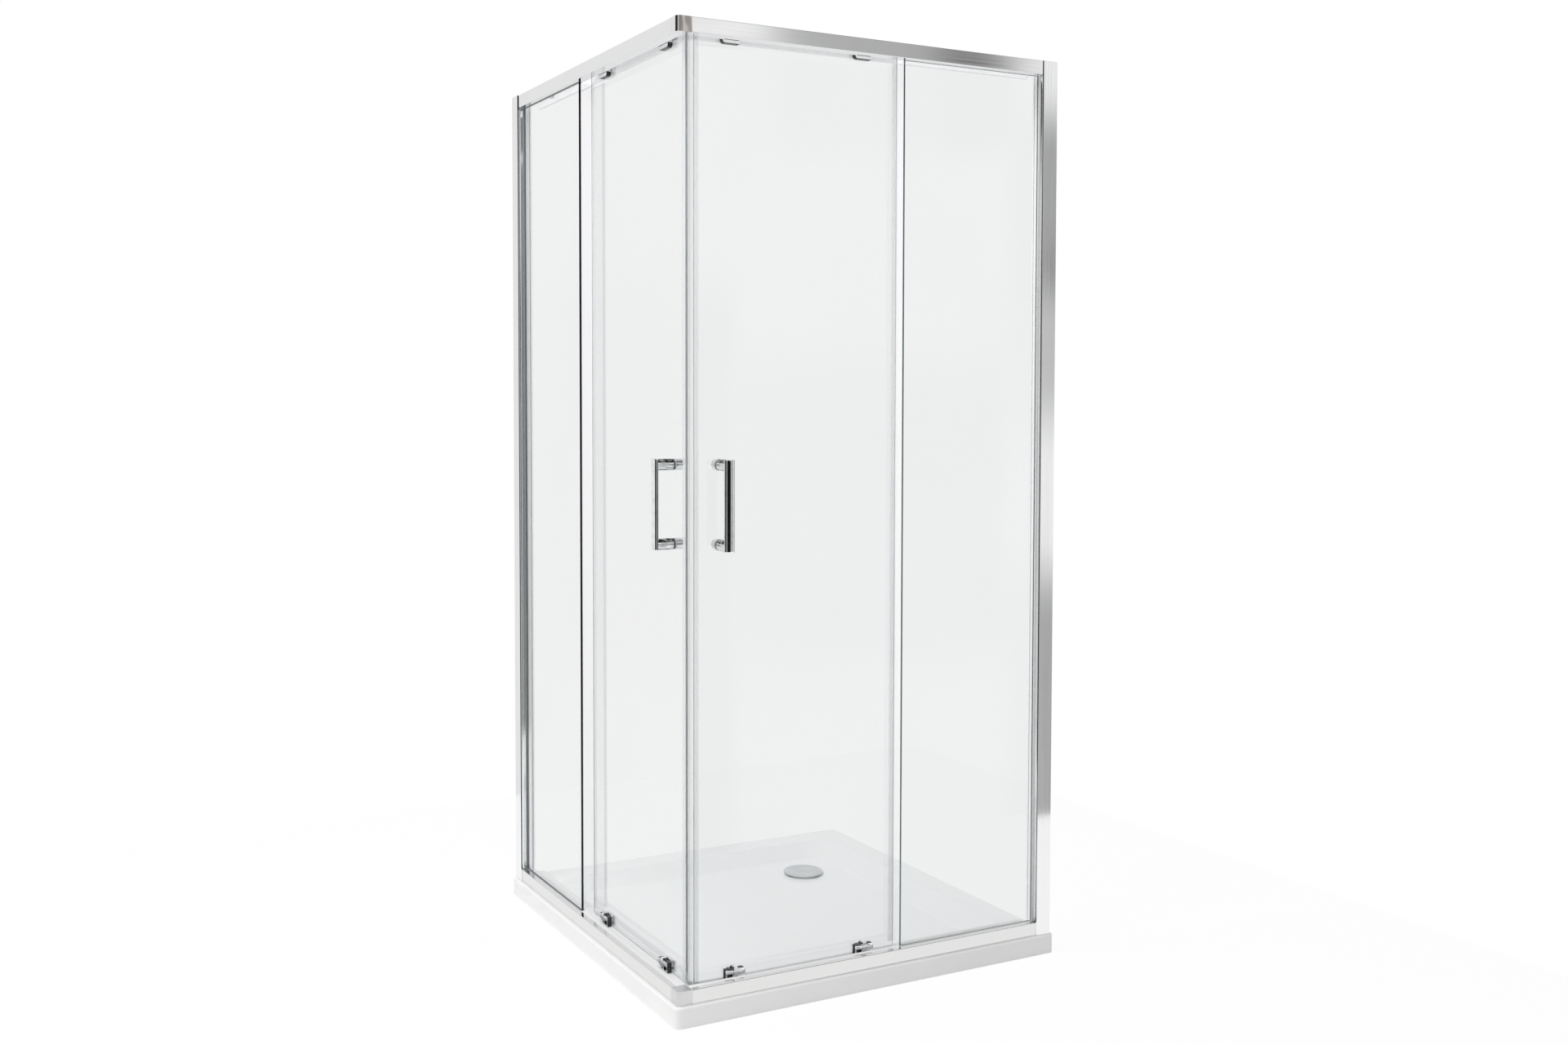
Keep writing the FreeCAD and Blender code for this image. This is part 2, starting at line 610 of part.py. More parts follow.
def wall_profile():
    inner = PROFILE_DEPTH - FRAME_WALL
    web = FRAME_SIDE - FRAME_WALL
    outline = [
        (PROFILE_FRONT, -PROFILE_PROUD),
        (FRAME_SIDE, -PROFILE_PROUD),
        (FRAME_SIDE, PROFILE_DEPTH),
        (PROFILE_FRONT, PROFILE_DEPTH),
        (PROFILE_FRONT, inner),
        (web, inner),
        (web, FRAME_WALL - PROFILE_PROUD),
        (PROFILE_FRONT, FRAME_WALL - PROFILE_PROUD),
    ]
    profile = upright(outline, (FOOT, TOP))
    profile = profile.makeFillet(PROFILE_EDGE_ROUND, edges_at(profile, PROFILE_FRONT, -PROFILE_PROUD))
    for height in wall_holes():
        start = Vector(web - OVERRUN, (PROFILE_DEPTH - PROFILE_PROUD) / 2, height)
        hole = Part.makeCylinder(WALL_HOLE_RADIUS, FRAME_WALL + OVERRUN + OVERRUN, start, ALONG)
        profile = profile.cut(hole)
    for height in holder_screw_heights():
        profile = profile.cut(clearance_hole(HOLDER_SCREW_PLACE, height, (inner, PROFILE_DEPTH)))
    return profile


def holder_screw_heights():
    return spread(FOOT + HOLDER_SCREW_INSET, TOP - HOLDER_SCREW_INSET, HOLDER_SCREW_COUNT)


def holder_screws():
    return [frame_screw(HOLDER_SCREW_PLACE, height, PROFILE_DEPTH) for height in holder_screw_heights()]


def screw_caps():
    """Round caps that press over the heads of the holder screws."""
    caps = []
    cap_top = PROFILE_DEPTH + SCREW_CAP_THICKNESS
    for height, screw in zip(holder_screw_heights(), holder_screws()):
        cap = rod(HOLDER_SCREW_PLACE, height, SCREW_CAP_RADIUS, (PROFILE_DEPTH, cap_top))
        cap = cap.makeFillet(SCREW_CAP_ROUND, edges_at(cap, depth=cap_top))
        caps.append(cap.cut(screw))
    return caps


def glass_holder():
    """The inner jamb, which slides in the wall profile: a hollow back and two legs at the glass."""
    front = FRAME_WALL - PROFILE_PROUD + HOLDER_FIT
    back = PROFILE_DEPTH - FRAME_WALL - HOLDER_FIT
    leg_start = HOLDER_FACE - HOLDER_LEG
    heel = HOLDER_FACE + HOLDER_BACK
    up = (FOOT, TOP)
    past_ends = (FOOT - OVERRUN, TOP + OVERRUN)
    body = block((leg_start, heel), (front, back), up)
    body = body.makeFillet(HOLDER_ROUND, edges_at(body, leg_start, front))
    hollow = block(
        (leg_start + HOLDER_WALL, heel - HOLDER_WALL),
        (front + HOLDER_WALL, back - HOLDER_WALL),
        past_ends,
    )
    inner_corner = edges_at(hollow, leg_start + HOLDER_WALL, front + HOLDER_WALL)
    hollow = hollow.makeFillet(HOLDER_ROUND - HOLDER_WALL, inner_corner)
    channel_shell = block(
        (leg_start, HOLDER_FACE + HOLDER_WALL),
        (CHANNEL_FRONT - HOLDER_WALL, CHANNEL_BACK + HOLDER_WALL),
        past_ends,
    )
    channel = block((leg_start - OVERRUN, HOLDER_FACE), (CHANNEL_FRONT, CHANNEL_BACK), past_ends)
    holder = body.cut(hollow.cut(channel_shell)).cut(channel)
    return holder.cut(Part.makeCompound(holder_screws()))


def rail_stops():
    """Two blocks in the top rail, one for each end of the door's travel."""
    closed = ROLLER_NEAR - TOP_WHEEL_RADIUS - STOP_GAP
    opened = ROLLER_FAR + DOOR_TRAVEL + TOP_WHEEL_RADIUS + STOP_GAP
    depth = (LIP_FRONT, BACK_LEG_FRONT)
    height = (TOP - FRAME_WALL - STOP_DROP, TOP - FRAME_WALL)
    return [
        block((closed - STOP_LENGTH, closed), depth, height),
        block((opened, opened + STOP_LENGTH), depth, height),
    ]


# Fixed panel

def fixed_glass():
    return block((FIXED_EDGE, FIXED_END), (FIXED_FRONT, FIXED_BACK), (FIXED_FOOT, FIXED_HEAD))


def fixed_gasket():
    """A rubber channel round the foot, the jamb and the head of the fixed glass."""
    depth = (CHANNEL_FRONT, CHANNEL_BACK)
    full_length = (FIXED_EDGE, HOLDER_FACE)
    foot = block(full_length, depth, (CHANNEL_FLOOR, GASKET_FOOT_EDGE))
    head = block(full_length, depth, (GASKET_HEAD_EDGE, TOP - FRAME_WALL))
    jamb = block((GASKET_JAMB_EDGE, HOLDER_FACE), depth, (CHANNEL_FLOOR, TOP - FRAME_WALL))
    return foot.fuse(jamb).fuse(head).removeSplitter().cut(fixed_glass())


# Door

def door_glass():
    glass = block((DOOR_LEAD, DOOR_TRAIL), (DOOR_FRONT, DOOR_BACK), (DOOR_FOOT, DOOR_HEAD))
    through = (DOOR_FRONT - OVERRUN, DOOR_BACK + OVERRUN)
    for place in ROLLER_STATIONS.values():
        glass = glass.cut(rod(place, ROLLER_HEIGHT, ROLLER_HOLE_RADIUS, through))
    for place in GUIDE_STATIONS.values():
        glass = glass.cut(rod(place, GUIDE_HOLE_HEIGHT, GUIDE_SLEEVE_RADIUS + GUIDE_HOLE_GAP, through))
    for height in HANDLE_HEIGHTS:
        glass = glass.cut(rod(HANDLE_PLACE, height, HANDLE_HOLE_RADIUS, through))
    return glass


def mitre(depth):
    """How far along the side the corner seal's slanting face lies, at a depth."""
    return depth + MITRE_GAP


def magnet_strip():
    near = [(mitre(depth) + MAGNET_SKIN, depth) for depth in (DOOR_FRONT, DOOR_BACK)]
    far = [(place + MAGNET_WIDTH, depth) for place, depth in reversed(near)]
    return upright(near + far, (SEAL_FOOT, SEAL_HEAD))


def magnet_seal():
    """The strip on the door's leading edge. Its slanting face meets the other door's on the diagonal."""
    grip_end = DOOR_LEAD + SEAL_GRIP
    outline = [
        (mitre(SEAL_FRONT), SEAL_FRONT),
        (grip_end, SEAL_FRONT),
        (grip_end, DOOR_FRONT),
        (DOOR_LEAD, DOOR_FRONT),
        (DOOR_LEAD, DOOR_BACK),
        (grip_end, DOOR_BACK),
        (grip_end, SEAL_BACK),
        (mitre(SEAL_BACK), SEAL_BACK),
    ]
    return upright(outline, (SEAL_FOOT, SEAL_HEAD)).cut(magnet_strip())


def rear_seal():
    """The strip on the door's rear edge, with a fin that closes the gap to the fixed glass."""
    grip_start = DOOR_TRAIL - REAR_GRIP
    rear = DOOR_TRAIL + REAR_LIP
    outline = [
        (grip_start, SEAL_FRONT),
        (DOOR_TRAIL, SEAL_FRONT),
        (DOOR_TRAIL, FIXED_BACK + WIPE_GAP),
        (rear, FIXED_BACK + WIPE_GAP),
        (rear, SEAL_BACK),
        (grip_start, SEAL_BACK),
        (grip_start, DOOR_BACK),
        (DOOR_TRAIL, DOOR_BACK),
        (DOOR_TRAIL, DOOR_FRONT),
        (grip_start, DOOR_FRONT),
    ]
    return upright(outline, (GASKET_FOOT_EDGE + SEAL_END_GAP, GASKET_HEAD_EDGE - SEAL_END_GAP))


def handle_studs():
    reach = (DOOR_FRONT - HANDLE_WASHER - HANDLE_STUD_LENGTH, DOOR_BACK + HANDLE_WASHER)
    return [rod(HANDLE_PLACE, height, HANDLE_STUD_RADIUS, reach) for height in HANDLE_HEIGHTS]


def handle():
    """An upright bar with two round posts that end on the outer washers."""
    half = HANDLE_BAR_WIDTH / 2
    bar = block(
        (HANDLE_PLACE - half, HANDLE_PLACE + half),
        (HANDLE_BAR_FRONT, HANDLE_BAR_BACK),
        (HANDLE_BASE, HANDLE_BASE + HANDLE_HEIGHT),
    )
    long_edges = edges_at(bar, HANDLE_PLACE - half) + edges_at(bar, HANDLE_PLACE + half)
    long_edges = [edge for edge in long_edges if edge.BoundBox.ZLength > half]
    bar = bar.makeFillet(HANDLE_BAR_ROUND, long_edges)
    post_span = (HANDLE_BAR_BACK - HANDLE_POST_SINK, DOOR_FRONT - HANDLE_WASHER)
    for height in HANDLE_HEIGHTS:
        post = rod(HANDLE_PLACE, height, HANDLE_POST_RADIUS, post_span)
        post = post.makeFillet(HANDLE_POST_ROUND, edges_at(post, depth=post_span[0]))
        bar = bar.fuse(post)
    return bar.cut(Part.makeCompound(handle_studs())).removeSplitter()


def handle_knobs():
    """The inner knobs, each with the stud that goes through the glass into a post."""
    knobs = []
    seat = DOOR_BACK + HANDLE_WASHER
    end = seat + HANDLE_KNOB_LENGTH
    for height, stud in zip(HANDLE_HEIGHTS, handle_studs()):
        knob = rod(HANDLE_PLACE, height, HANDLE_POST_RADIUS, (seat, end))
        knob = knob.makeFillet(HANDLE_POST_ROUND, edges_at(knob, depth=end))
        knobs.append(knob.fuse(stud).removeSplitter())
    return knobs


def handle_washers():
    """A soft ring on each face of the glass under every post and knob."""
    rings = []
    radius = HANDLE_POST_RADIUS - HANDLE_WASHER_STEP
    faces = [(DOOR_FRONT - HANDLE_WASHER, DOOR_FRONT), (DOOR_BACK, DOOR_BACK + HANDLE_WASHER)]
    for height, stud in zip(HANDLE_HEIGHTS, handle_studs()):
        rings += [rod(HANDLE_PLACE, height, radius, face).cut(stud) for face in faces]
    return rings


# Top rollers

def roller_axle(place):
    """A pin screwed into the cap, with a collar on the glass and a head in the wheel's recess."""
    head_end = TOP_WHEEL_BACK
    head_start = head_end - AXLE_HEAD_THICKNESS
    pin = rod(place, ROLLER_HEIGHT, AXLE_RADIUS, (DOOR_FRONT - AXLE_GRIP, head_end))
    collar = rod(place, ROLLER_HEIGHT, COLLAR_RADIUS, (DOOR_BACK, DOOR_BACK + COLLAR_THICKNESS))
    head = rod(place, ROLLER_HEIGHT, AXLE_HEAD_RADIUS, (head_start, head_end))
    return pin.fuse(collar).fuse(head).removeSplitter()


def roller_cap(place):
    """The outer cap, whose round lower corners hang below the soffit, with a boss in the glass."""
    half = ROLLER_CAP_WIDTH / 2
    foot = SOFFIT - ROLLER_CAP_DROP
    cap = block((place - half, place + half), (RUN_FRONT, DOOR_FRONT), (foot, DOOR_HEAD))
    low_corners = edges_at(cap, place - half, height=foot) + edges_at(cap, place + half, height=foot)
    cap = cap.makeFillet(ROLLER_CAP_CORNER, low_corners)
    cap = cap.makeFillet(ROLLER_CAP_ROUND, edges_at(cap, depth=RUN_FRONT))
    boss = rod(place, ROLLER_HEIGHT, ROLLER_BOSS_RADIUS, (DOOR_FRONT, DOOR_BACK))
    return cap.fuse(boss).cut(roller_axle(place)).removeSplitter()


def top_wheel(place):
    wheel = rod(place, ROLLER_HEIGHT, TOP_WHEEL_RADIUS, (TOP_WHEEL_FRONT, TOP_WHEEL_BACK))
    rims = edges_at(wheel, depth=TOP_WHEEL_FRONT) + edges_at(wheel, depth=TOP_WHEEL_BACK)
    wheel = wheel.makeFillet(TOP_WHEEL_ROUND, rims)
    bore = rod(place, ROLLER_HEIGHT, AXLE_RADIUS + RUNNING_FIT, (DOOR_BACK, RAIL_DEPTH))
    recess_floor = TOP_WHEEL_BACK - AXLE_HEAD_THICKNESS - AXIAL_GAP
    recess = rod(place, ROLLER_HEIGHT, AXLE_HEAD_RADIUS + AXLE_HEAD_GAP, (recess_floor, RAIL_DEPTH))
    return wheel.cut(bore).cut(recess)


# Bottom guides

def guide_housing(place):
    """The outer block with a thumb slot, a drain notch, and a sleeve through the glass."""
    half = GUIDE_WIDTH / 2
    housing = block((place - half, place + half), (RUN_FRONT, DOOR_FRONT), (GUIDE_FOOT, GUIDE_HEAD))
    front_corners = edges_at(housing, place - half, RUN_FRONT) + edges_at(housing, place + half, RUN_FRONT)
    top_corners = edges_at(housing, depth=RUN_FRONT, height=GUIDE_HEAD)
    housing = housing.makeFillet(GUIDE_ROUND, front_corners + top_corners)
    sleeve_span = (DOOR_FRONT, DOOR_BACK + GUIDE_PLATE_THICKNESS)
    sleeve = rod(place, GUIDE_HOLE_HEIGHT, GUIDE_SLEEVE_RADIUS, sleeve_span)
    slot_half = THUMB_WIDTH / 2 + SLIDE_FIT
    slot = block(
        (place - slot_half, place + slot_half),
        (RUN_FRONT - OVERRUN, DOOR_FRONT - GUIDE_BACK),
        (GUIDE_FOOT + GUIDE_FLOOR, GUIDE_HEAD + OVERRUN),
    )
    notch_start = place - half + NOTCH_MARGIN
    notch = block(
        (notch_start, notch_start + NOTCH_WIDTH),
        (RUN_FRONT - OVERRUN, RUN_FRONT + NOTCH_DEPTH),
        (GUIDE_FOOT + NOTCH_FLOOR, GUIDE_FOOT + NOTCH_FLOOR + NOTCH_HEIGHT),
    )
    stem_half = STEM_WIDTH / 2 + SLIDE_FIT
    stem_slot = block(
        (place - stem_half, place + stem_half),
        (DOOR_FRONT - GUIDE_BACK - OVERRUN, CARRIER_FRONT),
        (
            STEM_HEIGHT_PLACE - STEM_HEIGHT / 2 - PRESS_TRAVEL - SLIDE_FIT,
            STEM_HEIGHT_PLACE + STEM_HEIGHT / 2 + SLIDE_FIT,
        ),
    )
    return housing.fuse(sleeve).removeSplitter().cut(slot).cut(notch).cut(stem_slot)


def guide_plate(place):
    """The round nut that clamps the housing from inside the shower."""
    span = (DOOR_BACK, DOOR_BACK + GUIDE_PLATE_THICKNESS)
    plate = rod(place, GUIDE_HOLE_HEIGHT, GUIDE_PLATE_RADIUS, span)
    return plate.cut(rod(place, GUIDE_HOLE_HEIGHT, GUIDE_SLEEVE_RADIUS, span))


def guide_spring(place):
    """A bent leaf between the housing's floor and the thumb slide."""
    half = THUMB_WIDTH / 2 - SLIDE_FIT
    low = GUIDE_FOOT + GUIDE_FLOOR
    high = THUMB_FOOT - SPRING_REST_GAP
    depth = (RUN_FRONT, DOOR_FRONT - GUIDE_BACK - SLIDE_FIT)
    leaf = block((place - half, place + half), depth, (low, high))
    gap_start = place - half + SPRING_LEAF
    gap = block((gap_start, place + half + OVERRUN), depth, (low + SPRING_LEAF, high - SPRING_LEAF))
    return leaf.cut(gap)


def guide_slide(place):
    """The thumb piece, its stem through the sleeve, and the carrier with the wheel's axle."""
    thumb_half = THUMB_WIDTH / 2
    thumb_front = RUN_FRONT - THUMB_PROUD
    thumb_back = DOOR_FRONT - GUIDE_BACK - SLIDE_FIT
    thumb = block(
        (place - thumb_half, place + thumb_half),
        (thumb_front, thumb_back),
        (THUMB_FOOT, THUMB_HEAD),
    )
    touched = edges_at(thumb, depth=thumb_front) + edges_at(thumb, height=THUMB_HEAD)
    thumb = thumb.makeFillet(THUMB_ROUND, touched)
    stem_top = STEM_HEIGHT_PLACE + STEM_HEIGHT / 2
    stem = block(
        (place - STEM_WIDTH / 2, place + STEM_WIDTH / 2),
        (thumb_back - GUIDE_BACK, CARRIER_BACK),
        (stem_top - STEM_HEIGHT, stem_top),
    )
    carrier = block(
        (place - CARRIER_WIDTH / 2, place + CARRIER_WIDTH / 2),
        (CARRIER_FRONT, CARRIER_BACK),
        (GUIDE_WHEEL_HEIGHT - CARRIER_DROP, stem_top),
    )
    head_start = GUIDE_WHEEL_FRONT + AXIAL_GAP
    head_end = head_start + AXLE_HEAD_THICKNESS
    axle = rod(place, GUIDE_WHEEL_HEIGHT, GUIDE_AXLE_RADIUS, (head_start, CARRIER_BACK))
    head = rod(place, GUIDE_WHEEL_HEIGHT, GUIDE_HEAD_RADIUS, (head_start, head_end))
    collar_span = (GUIDE_WHEEL_BACK + AXIAL_GAP, CARRIER_BACK)
    collar = rod(place, GUIDE_WHEEL_HEIGHT, GUIDE_COLLAR_RADIUS, collar_span)
    whole = thumb.fuse(stem).fuse(carrier).fuse(axle).fuse(head).fuse(collar)
    return whole.removeSplitter()


def guide_wheel(place):
    """A grooved wheel: the bottom rail's rib runs in the groove from above."""
    wheel = rod(place, GUIDE_WHEEL_HEIGHT, GUIDE_WHEEL_RADIUS, (GUIDE_WHEEL_FRONT, GUIDE_WHEEL_BACK))
    groove_half = GUIDE_RIB_THICKNESS / 2 + GROOVE_SIDE_GAP
    groove_span = (GUIDE_WHEEL_MIDDLE - groove_half, GUIDE_WHEEL_MIDDLE + groove_half)
    root_radius = RIB_FOOT - GROOVE_ROOT_GAP - GUIDE_WHEEL_HEIGHT
    ring = rod(place, GUIDE_WHEEL_HEIGHT, GUIDE_WHEEL_RADIUS + OVERRUN, groove_span)
    ring = ring.cut(rod(place, GUIDE_WHEEL_HEIGHT, root_radius, groove_span))
    bore = rod(place, GUIDE_WHEEL_HEIGHT, GUIDE_AXLE_RADIUS + RUNNING_FIT, (BASE_DEPTH, CARRIER_FRONT))
    recess_end = GUIDE_WHEEL_FRONT + AXLE_HEAD_THICKNESS + AXIAL_GAP + AXIAL_GAP
    recess = rod(place, GUIDE_WHEEL_HEIGHT, GUIDE_HEAD_RADIUS + AXLE_HEAD_GAP, (BASE_DEPTH, recess_end))
    return wheel.cut(ring).cut(bore).cut(recess)


def at_stations(make, stations):
    """One solid at each of a door's stations."""
    return [make(place) for place in stations.values()]


def save_side(side, placed):
    """All the nodes of one glass side."""
    save(f"top_rail_{side}", placed(top_rail()))
    save(f"bottom_rail_{side}", placed(bottom_rail()))
    save(f"channel_covers_{side}", *map(placed, channel_covers()))
    save(f"wall_profile_{side}", placed(wall_profile()))
    save(f"glass_holder_{side}", placed(glass_holder()))
    save(f"fixed_glass_{side}", placed(fixed_glass()))
    save(f"fixed_gasket_{side}", placed(fixed_gasket()))
    save(f"door_glass_{side}", placed(door_glass()))
    save(f"magnet_seal_{side}", placed(magnet_seal()))
    save(f"magnet_strip_{side}", placed(magnet_strip()))
    save(f"rear_seal_{side}", placed(rear_seal()))
    save(f"handle_{side}", placed(handle()))
    save(f"handle_knobs_{side}", *map(placed, handle_knobs()))
    save(f"handle_washers_{side}", *map(placed, handle_washers()))
    save(f"roller_caps_{side}", *map(placed, at_stations(roller_cap, ROLLER_STATIONS)))
    save(f"roller_axles_{side}", *map(placed, at_stations(roller_axle, ROLLER_STATIONS)))
    save(f"guide_housings_{side}", *map(placed, at_stations(guide_housing, GUIDE_STATIONS)))
    save(f"guide_plates_{side}", *map(placed, at_stations(guide_plate, GUIDE_STATIONS)))
    save(f"guide_springs_{side}", *map(placed, at_stations(guide_spring, GUIDE_STATIONS)))
    for station, place in ROLLER_STATIONS.items():
        save(f"top_wheel_{side}_{station}", placed(top_wheel(place)))
    for station, place in GUIDE_STATIONS.items():
        save(f"guide_slide_{side}_{station}", placed(guide_slide(place)))
        save(f"guide_wheel_{side}_{station}", placed(guide_wheel(place)))


def both_sides(shapes):
    """The same solids on the right and on the left."""
    return [placed(shape) for placed in SIDES.values() for shape in shapes]


os.makedirs("parts", exist_ok=True)
save("shower_tray", shower_tray())
save("waste_flange", waste_flange())
save("waste_gasket", waste_gasket())
save("drain_cover", drain_cover())
save("top_corner_joint", at_corner(top_corner_joint()))
save("bottom_corner_joint", at_corner(bottom_corner_joint()))
save("rail_stops", *both_sides(rail_stops()))
save("frame_screws", *both_sides([top_corner_screw(), bottom_corner_screw()] + holder_screws()))
save("screw_caps", *both_sides(screw_caps()))
for side_name, side_place in SIDES.items():
    save_side(side_name, side_place)
print(f"door travel {DOOR_TRAVEL:.1f}, rail depth {RAIL_DEPTH:.1f}, top {TOP:.1f}")
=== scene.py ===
# %% [markdown]
# # A square corner-entry shower enclosure
# The CAD model arrives as a finished frame of named solids. This lesson gives every solid the
# finish of the real piece, models again the pieces whose form needs a closer look, and sets a
# white studio around them.

# %% Load the frame
import math

import bmesh
import bpy
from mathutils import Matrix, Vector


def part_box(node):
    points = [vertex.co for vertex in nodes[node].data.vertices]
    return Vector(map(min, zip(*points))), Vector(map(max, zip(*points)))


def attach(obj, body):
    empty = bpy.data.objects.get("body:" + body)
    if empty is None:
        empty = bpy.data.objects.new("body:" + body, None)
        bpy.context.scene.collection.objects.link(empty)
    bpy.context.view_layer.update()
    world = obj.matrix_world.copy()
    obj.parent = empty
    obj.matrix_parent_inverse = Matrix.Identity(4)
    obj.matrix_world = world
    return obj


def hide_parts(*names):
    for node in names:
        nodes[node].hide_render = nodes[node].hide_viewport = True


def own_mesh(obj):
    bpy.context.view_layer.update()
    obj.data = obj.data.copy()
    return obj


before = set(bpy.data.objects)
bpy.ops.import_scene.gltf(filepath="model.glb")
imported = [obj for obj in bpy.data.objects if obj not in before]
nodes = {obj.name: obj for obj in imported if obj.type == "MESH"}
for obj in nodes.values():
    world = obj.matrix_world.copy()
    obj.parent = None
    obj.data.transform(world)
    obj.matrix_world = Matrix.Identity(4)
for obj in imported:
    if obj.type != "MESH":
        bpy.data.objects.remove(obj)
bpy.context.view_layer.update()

scene = bpy.context.scene
scene.view_settings.view_transform = "Standard"
SIDES = ("right", "left")

# %% [markdown]
# ## Camera
# The straight edges of the tray, rails and profiles fix where the photographer stood: a little
# above the middle of the glass, to the left of the entry corner. The lens is shifted, as on a
# view camera, so that the uprights stay nearly parallel while the whole height fits the frame.

# %% Camera
IMAGE_WIDTH = 1920
IMAGE_HEIGHT = 1280
SENSOR_WIDTH = 36.0
CAMERA_PLACE = (-1.6799, -2.9977, 1.1881)
CAMERA_YAW = math.radians(27.065)
CAMERA_PITCH = math.radians(2.385)
FOCAL_PIXELS = 1875.65
AXIS_COLUMN = 869.5
AXIS_ROW = 565.0
FARTHEST_SEEN = 200

bpy.ops.object.select_all(action="DESELECT")
bpy.ops.object.camera_add(
    location=CAMERA_PLACE, rotation=(math.pi / 2 - CAMERA_PITCH, 0, -CAMERA_YAW)
)
camera = bpy.context.object
camera.data.sensor_width = SENSOR_WIDTH
camera.data.sensor_fit = "HORIZONTAL"
camera.data.lens = FOCAL_PIXELS * SENSOR_WIDTH / IMAGE_WIDTH
camera.data.shift_x = (IMAGE_WIDTH / 2 - AXIS_COLUMN) / IMAGE_WIDTH
camera.data.shift_y = (AXIS_ROW - IMAGE_HEIGHT / 2) / IMAGE_WIDTH
camera.data.clip_end = FARTHEST_SEEN
scene.camera = camera
print("camera with a lens of", round(camera.data.lens, 2), "mm")

# %% [markdown]
# ## Node helpers
# Every finish below is a small node tree. A few helpers keep the trees readable: they add a node
# with its settings, join two sockets, do arithmetic on masks, and start a material with a single
# Principled shader.

# %% Node helpers
FLOAT = "NodeSocketFloat"
VECTOR = "NodeSocketVector"
# The Mix node has sockets for numbers and vectors too. These are the ones for colours.
MIX_FIRST, MIX_SECOND, MIX_RESULT = 6, 7, 2
BLACK = (0, 0, 0, 1)
MASK = (0.0, 1.0)  # the span of a mask
NOISE = (0.3, 0.7)  # most of the span of a noise


def add_node(tree, kind, **settings):
    node = tree.nodes.new(kind)
    for name, value in settings.items():
        setattr(node, name, value)
    return node


def feed(tree, source, target):
    """Join an output socket to an input, or set the input when the source is a plain value."""
    if isinstance(source, bpy.types.NodeSocket):
        tree.links.new(source, target)
    else:
        target.default_value = source


def math_node(tree, operation, first, second=None, third=None):
    node = add_node(tree, "ShaderNodeMath", operation=operation)
    for socket, value in zip(node.inputs, (first, second, third)):
        if value is not None:
            feed(tree, value, socket)
    return node.outputs[0]


def fold(tree, operation, *values):
    """One operation on values in turn: MULTIPLY is where all masks are, MAXIMUM where any is."""
    total = values[0]
    for value in values[1:]:
        total = math_node(tree, operation, total, value)
    return total


def outside(tree, mask):
    return math_node(tree, "SUBTRACT", 1.0, mask)


def ramp_value(tree, value, low, high, to_low=0.0, to_high=1.0):
    node = add_node(tree, "ShaderNodeMapRange", interpolation_type="SMOOTHSTEP")
    limits = {"From Min": low, "From Max": high, "To Min": to_low, "To Max": to_high}
    for name, number in limits.items():
        feed(tree, number, node.inputs[name])
    feed(tree, value, node.inputs["Value"])
    return node.outputs["Result"]


def mix_colour(tree, factor, first, second):
    node = add_node(tree, "ShaderNodeMix", data_type="RGBA")
    feed(tree, factor, node.inputs["Factor"])
    feed(tree, first, node.inputs[MIX_FIRST])
    feed(tree, second, node.inputs[MIX_SECOND])
    return node.outputs[MIX_RESULT]


def mix_shader(tree, share, first, second):
    node = add_node(tree, "ShaderNodeMixShader")
    for socket, source in zip(node.inputs, (share, first, second)):
        feed(tree, source, socket)
    return node.outputs[0]


def split_vector(tree, vector):
    node = add_node(tree, "ShaderNodeSeparateXYZ")
    feed(tree, vector, node.inputs[0])
    return node.outputs


def new_finish(name, **values):
    """A material with its tree, its Principled shader and the place on the object."""
    material = bpy.data.materials.new(name)
    material.use_nodes = True
    tree = material.node_tree
    shader = tree.nodes["Principled BSDF"]
    for socket, value in values.items():
        shader.inputs[socket.replace("_", " ")].default_value = value
    return material, tree, shader, add_node(tree, "ShaderNodeTexCoord").outputs["Object"]


def new_group(name, inputs, outputs):
    """A shader node group: inputs map a name to its socket type and default."""
    group = bpy.data.node_groups.new(name, "ShaderNodeTree")
    for label, (kind, value) in inputs.items():
        socket = group.interface.new_socket(label, in_out="INPUT", socket_type=kind)
        if value is not None:
            socket.default_value = value
    for label in outputs:
        group.interface.new_socket(label, in_out="OUTPUT", socket_type=FLOAT)
    entry = add_node(group, "NodeGroupInput")
    end = add_node(group, "NodeGroupOutput")
    return group, entry.outputs, end.inputs


def use_group(tree, group, **values):
    node = add_node(tree, "ShaderNodeGroup", node_tree=group)
    for label, value in values.items():
        feed(tree, value, node.inputs[label.replace("_", " ")])
    return node.outputs


def surface_normal(tree):
    return add_node(tree, "ShaderNodeNewGeometry").outputs["Normal"]


def tint(tree, shader, mask, first, second):
    feed(tree, mix_colour(tree, mask, first, second), shader.inputs["Base Color"])


def roughen(tree, shader, pattern, span, roughness):
    """Let the roughness follow a pattern, over the span of values that the pattern has."""
    feed(tree, ramp_value(tree, pattern, *span, *roughness), shader.inputs["Roughness"])


def raise_bump(tree, shader, height, strength, distance):
    """Let a height pattern tilt the surface a little, for the light only."""
    bump = add_node(tree, "ShaderNodeBump")
    bump.inputs["Strength"].default_value = strength
    bump.inputs["Distance"].default_value = distance
    feed(tree, height, bump.inputs["Height"])
    feed(tree, bump.outputs["Normal"], shader.inputs["Normal"])


print("helpers ready")

# %% [markdown]
# ## Studio
# The photograph was taken on white. Here the world and the floor are white to the eye, and light
# the object at a plain level. Chrome shows only what stands around it, so the studio also has
# what a photographer puts there: dark boards, soft at their edges, that only metal reflects.
# They are drawn in the world by azimuth and elevation, because that way each one can be moved
# without touching the light.

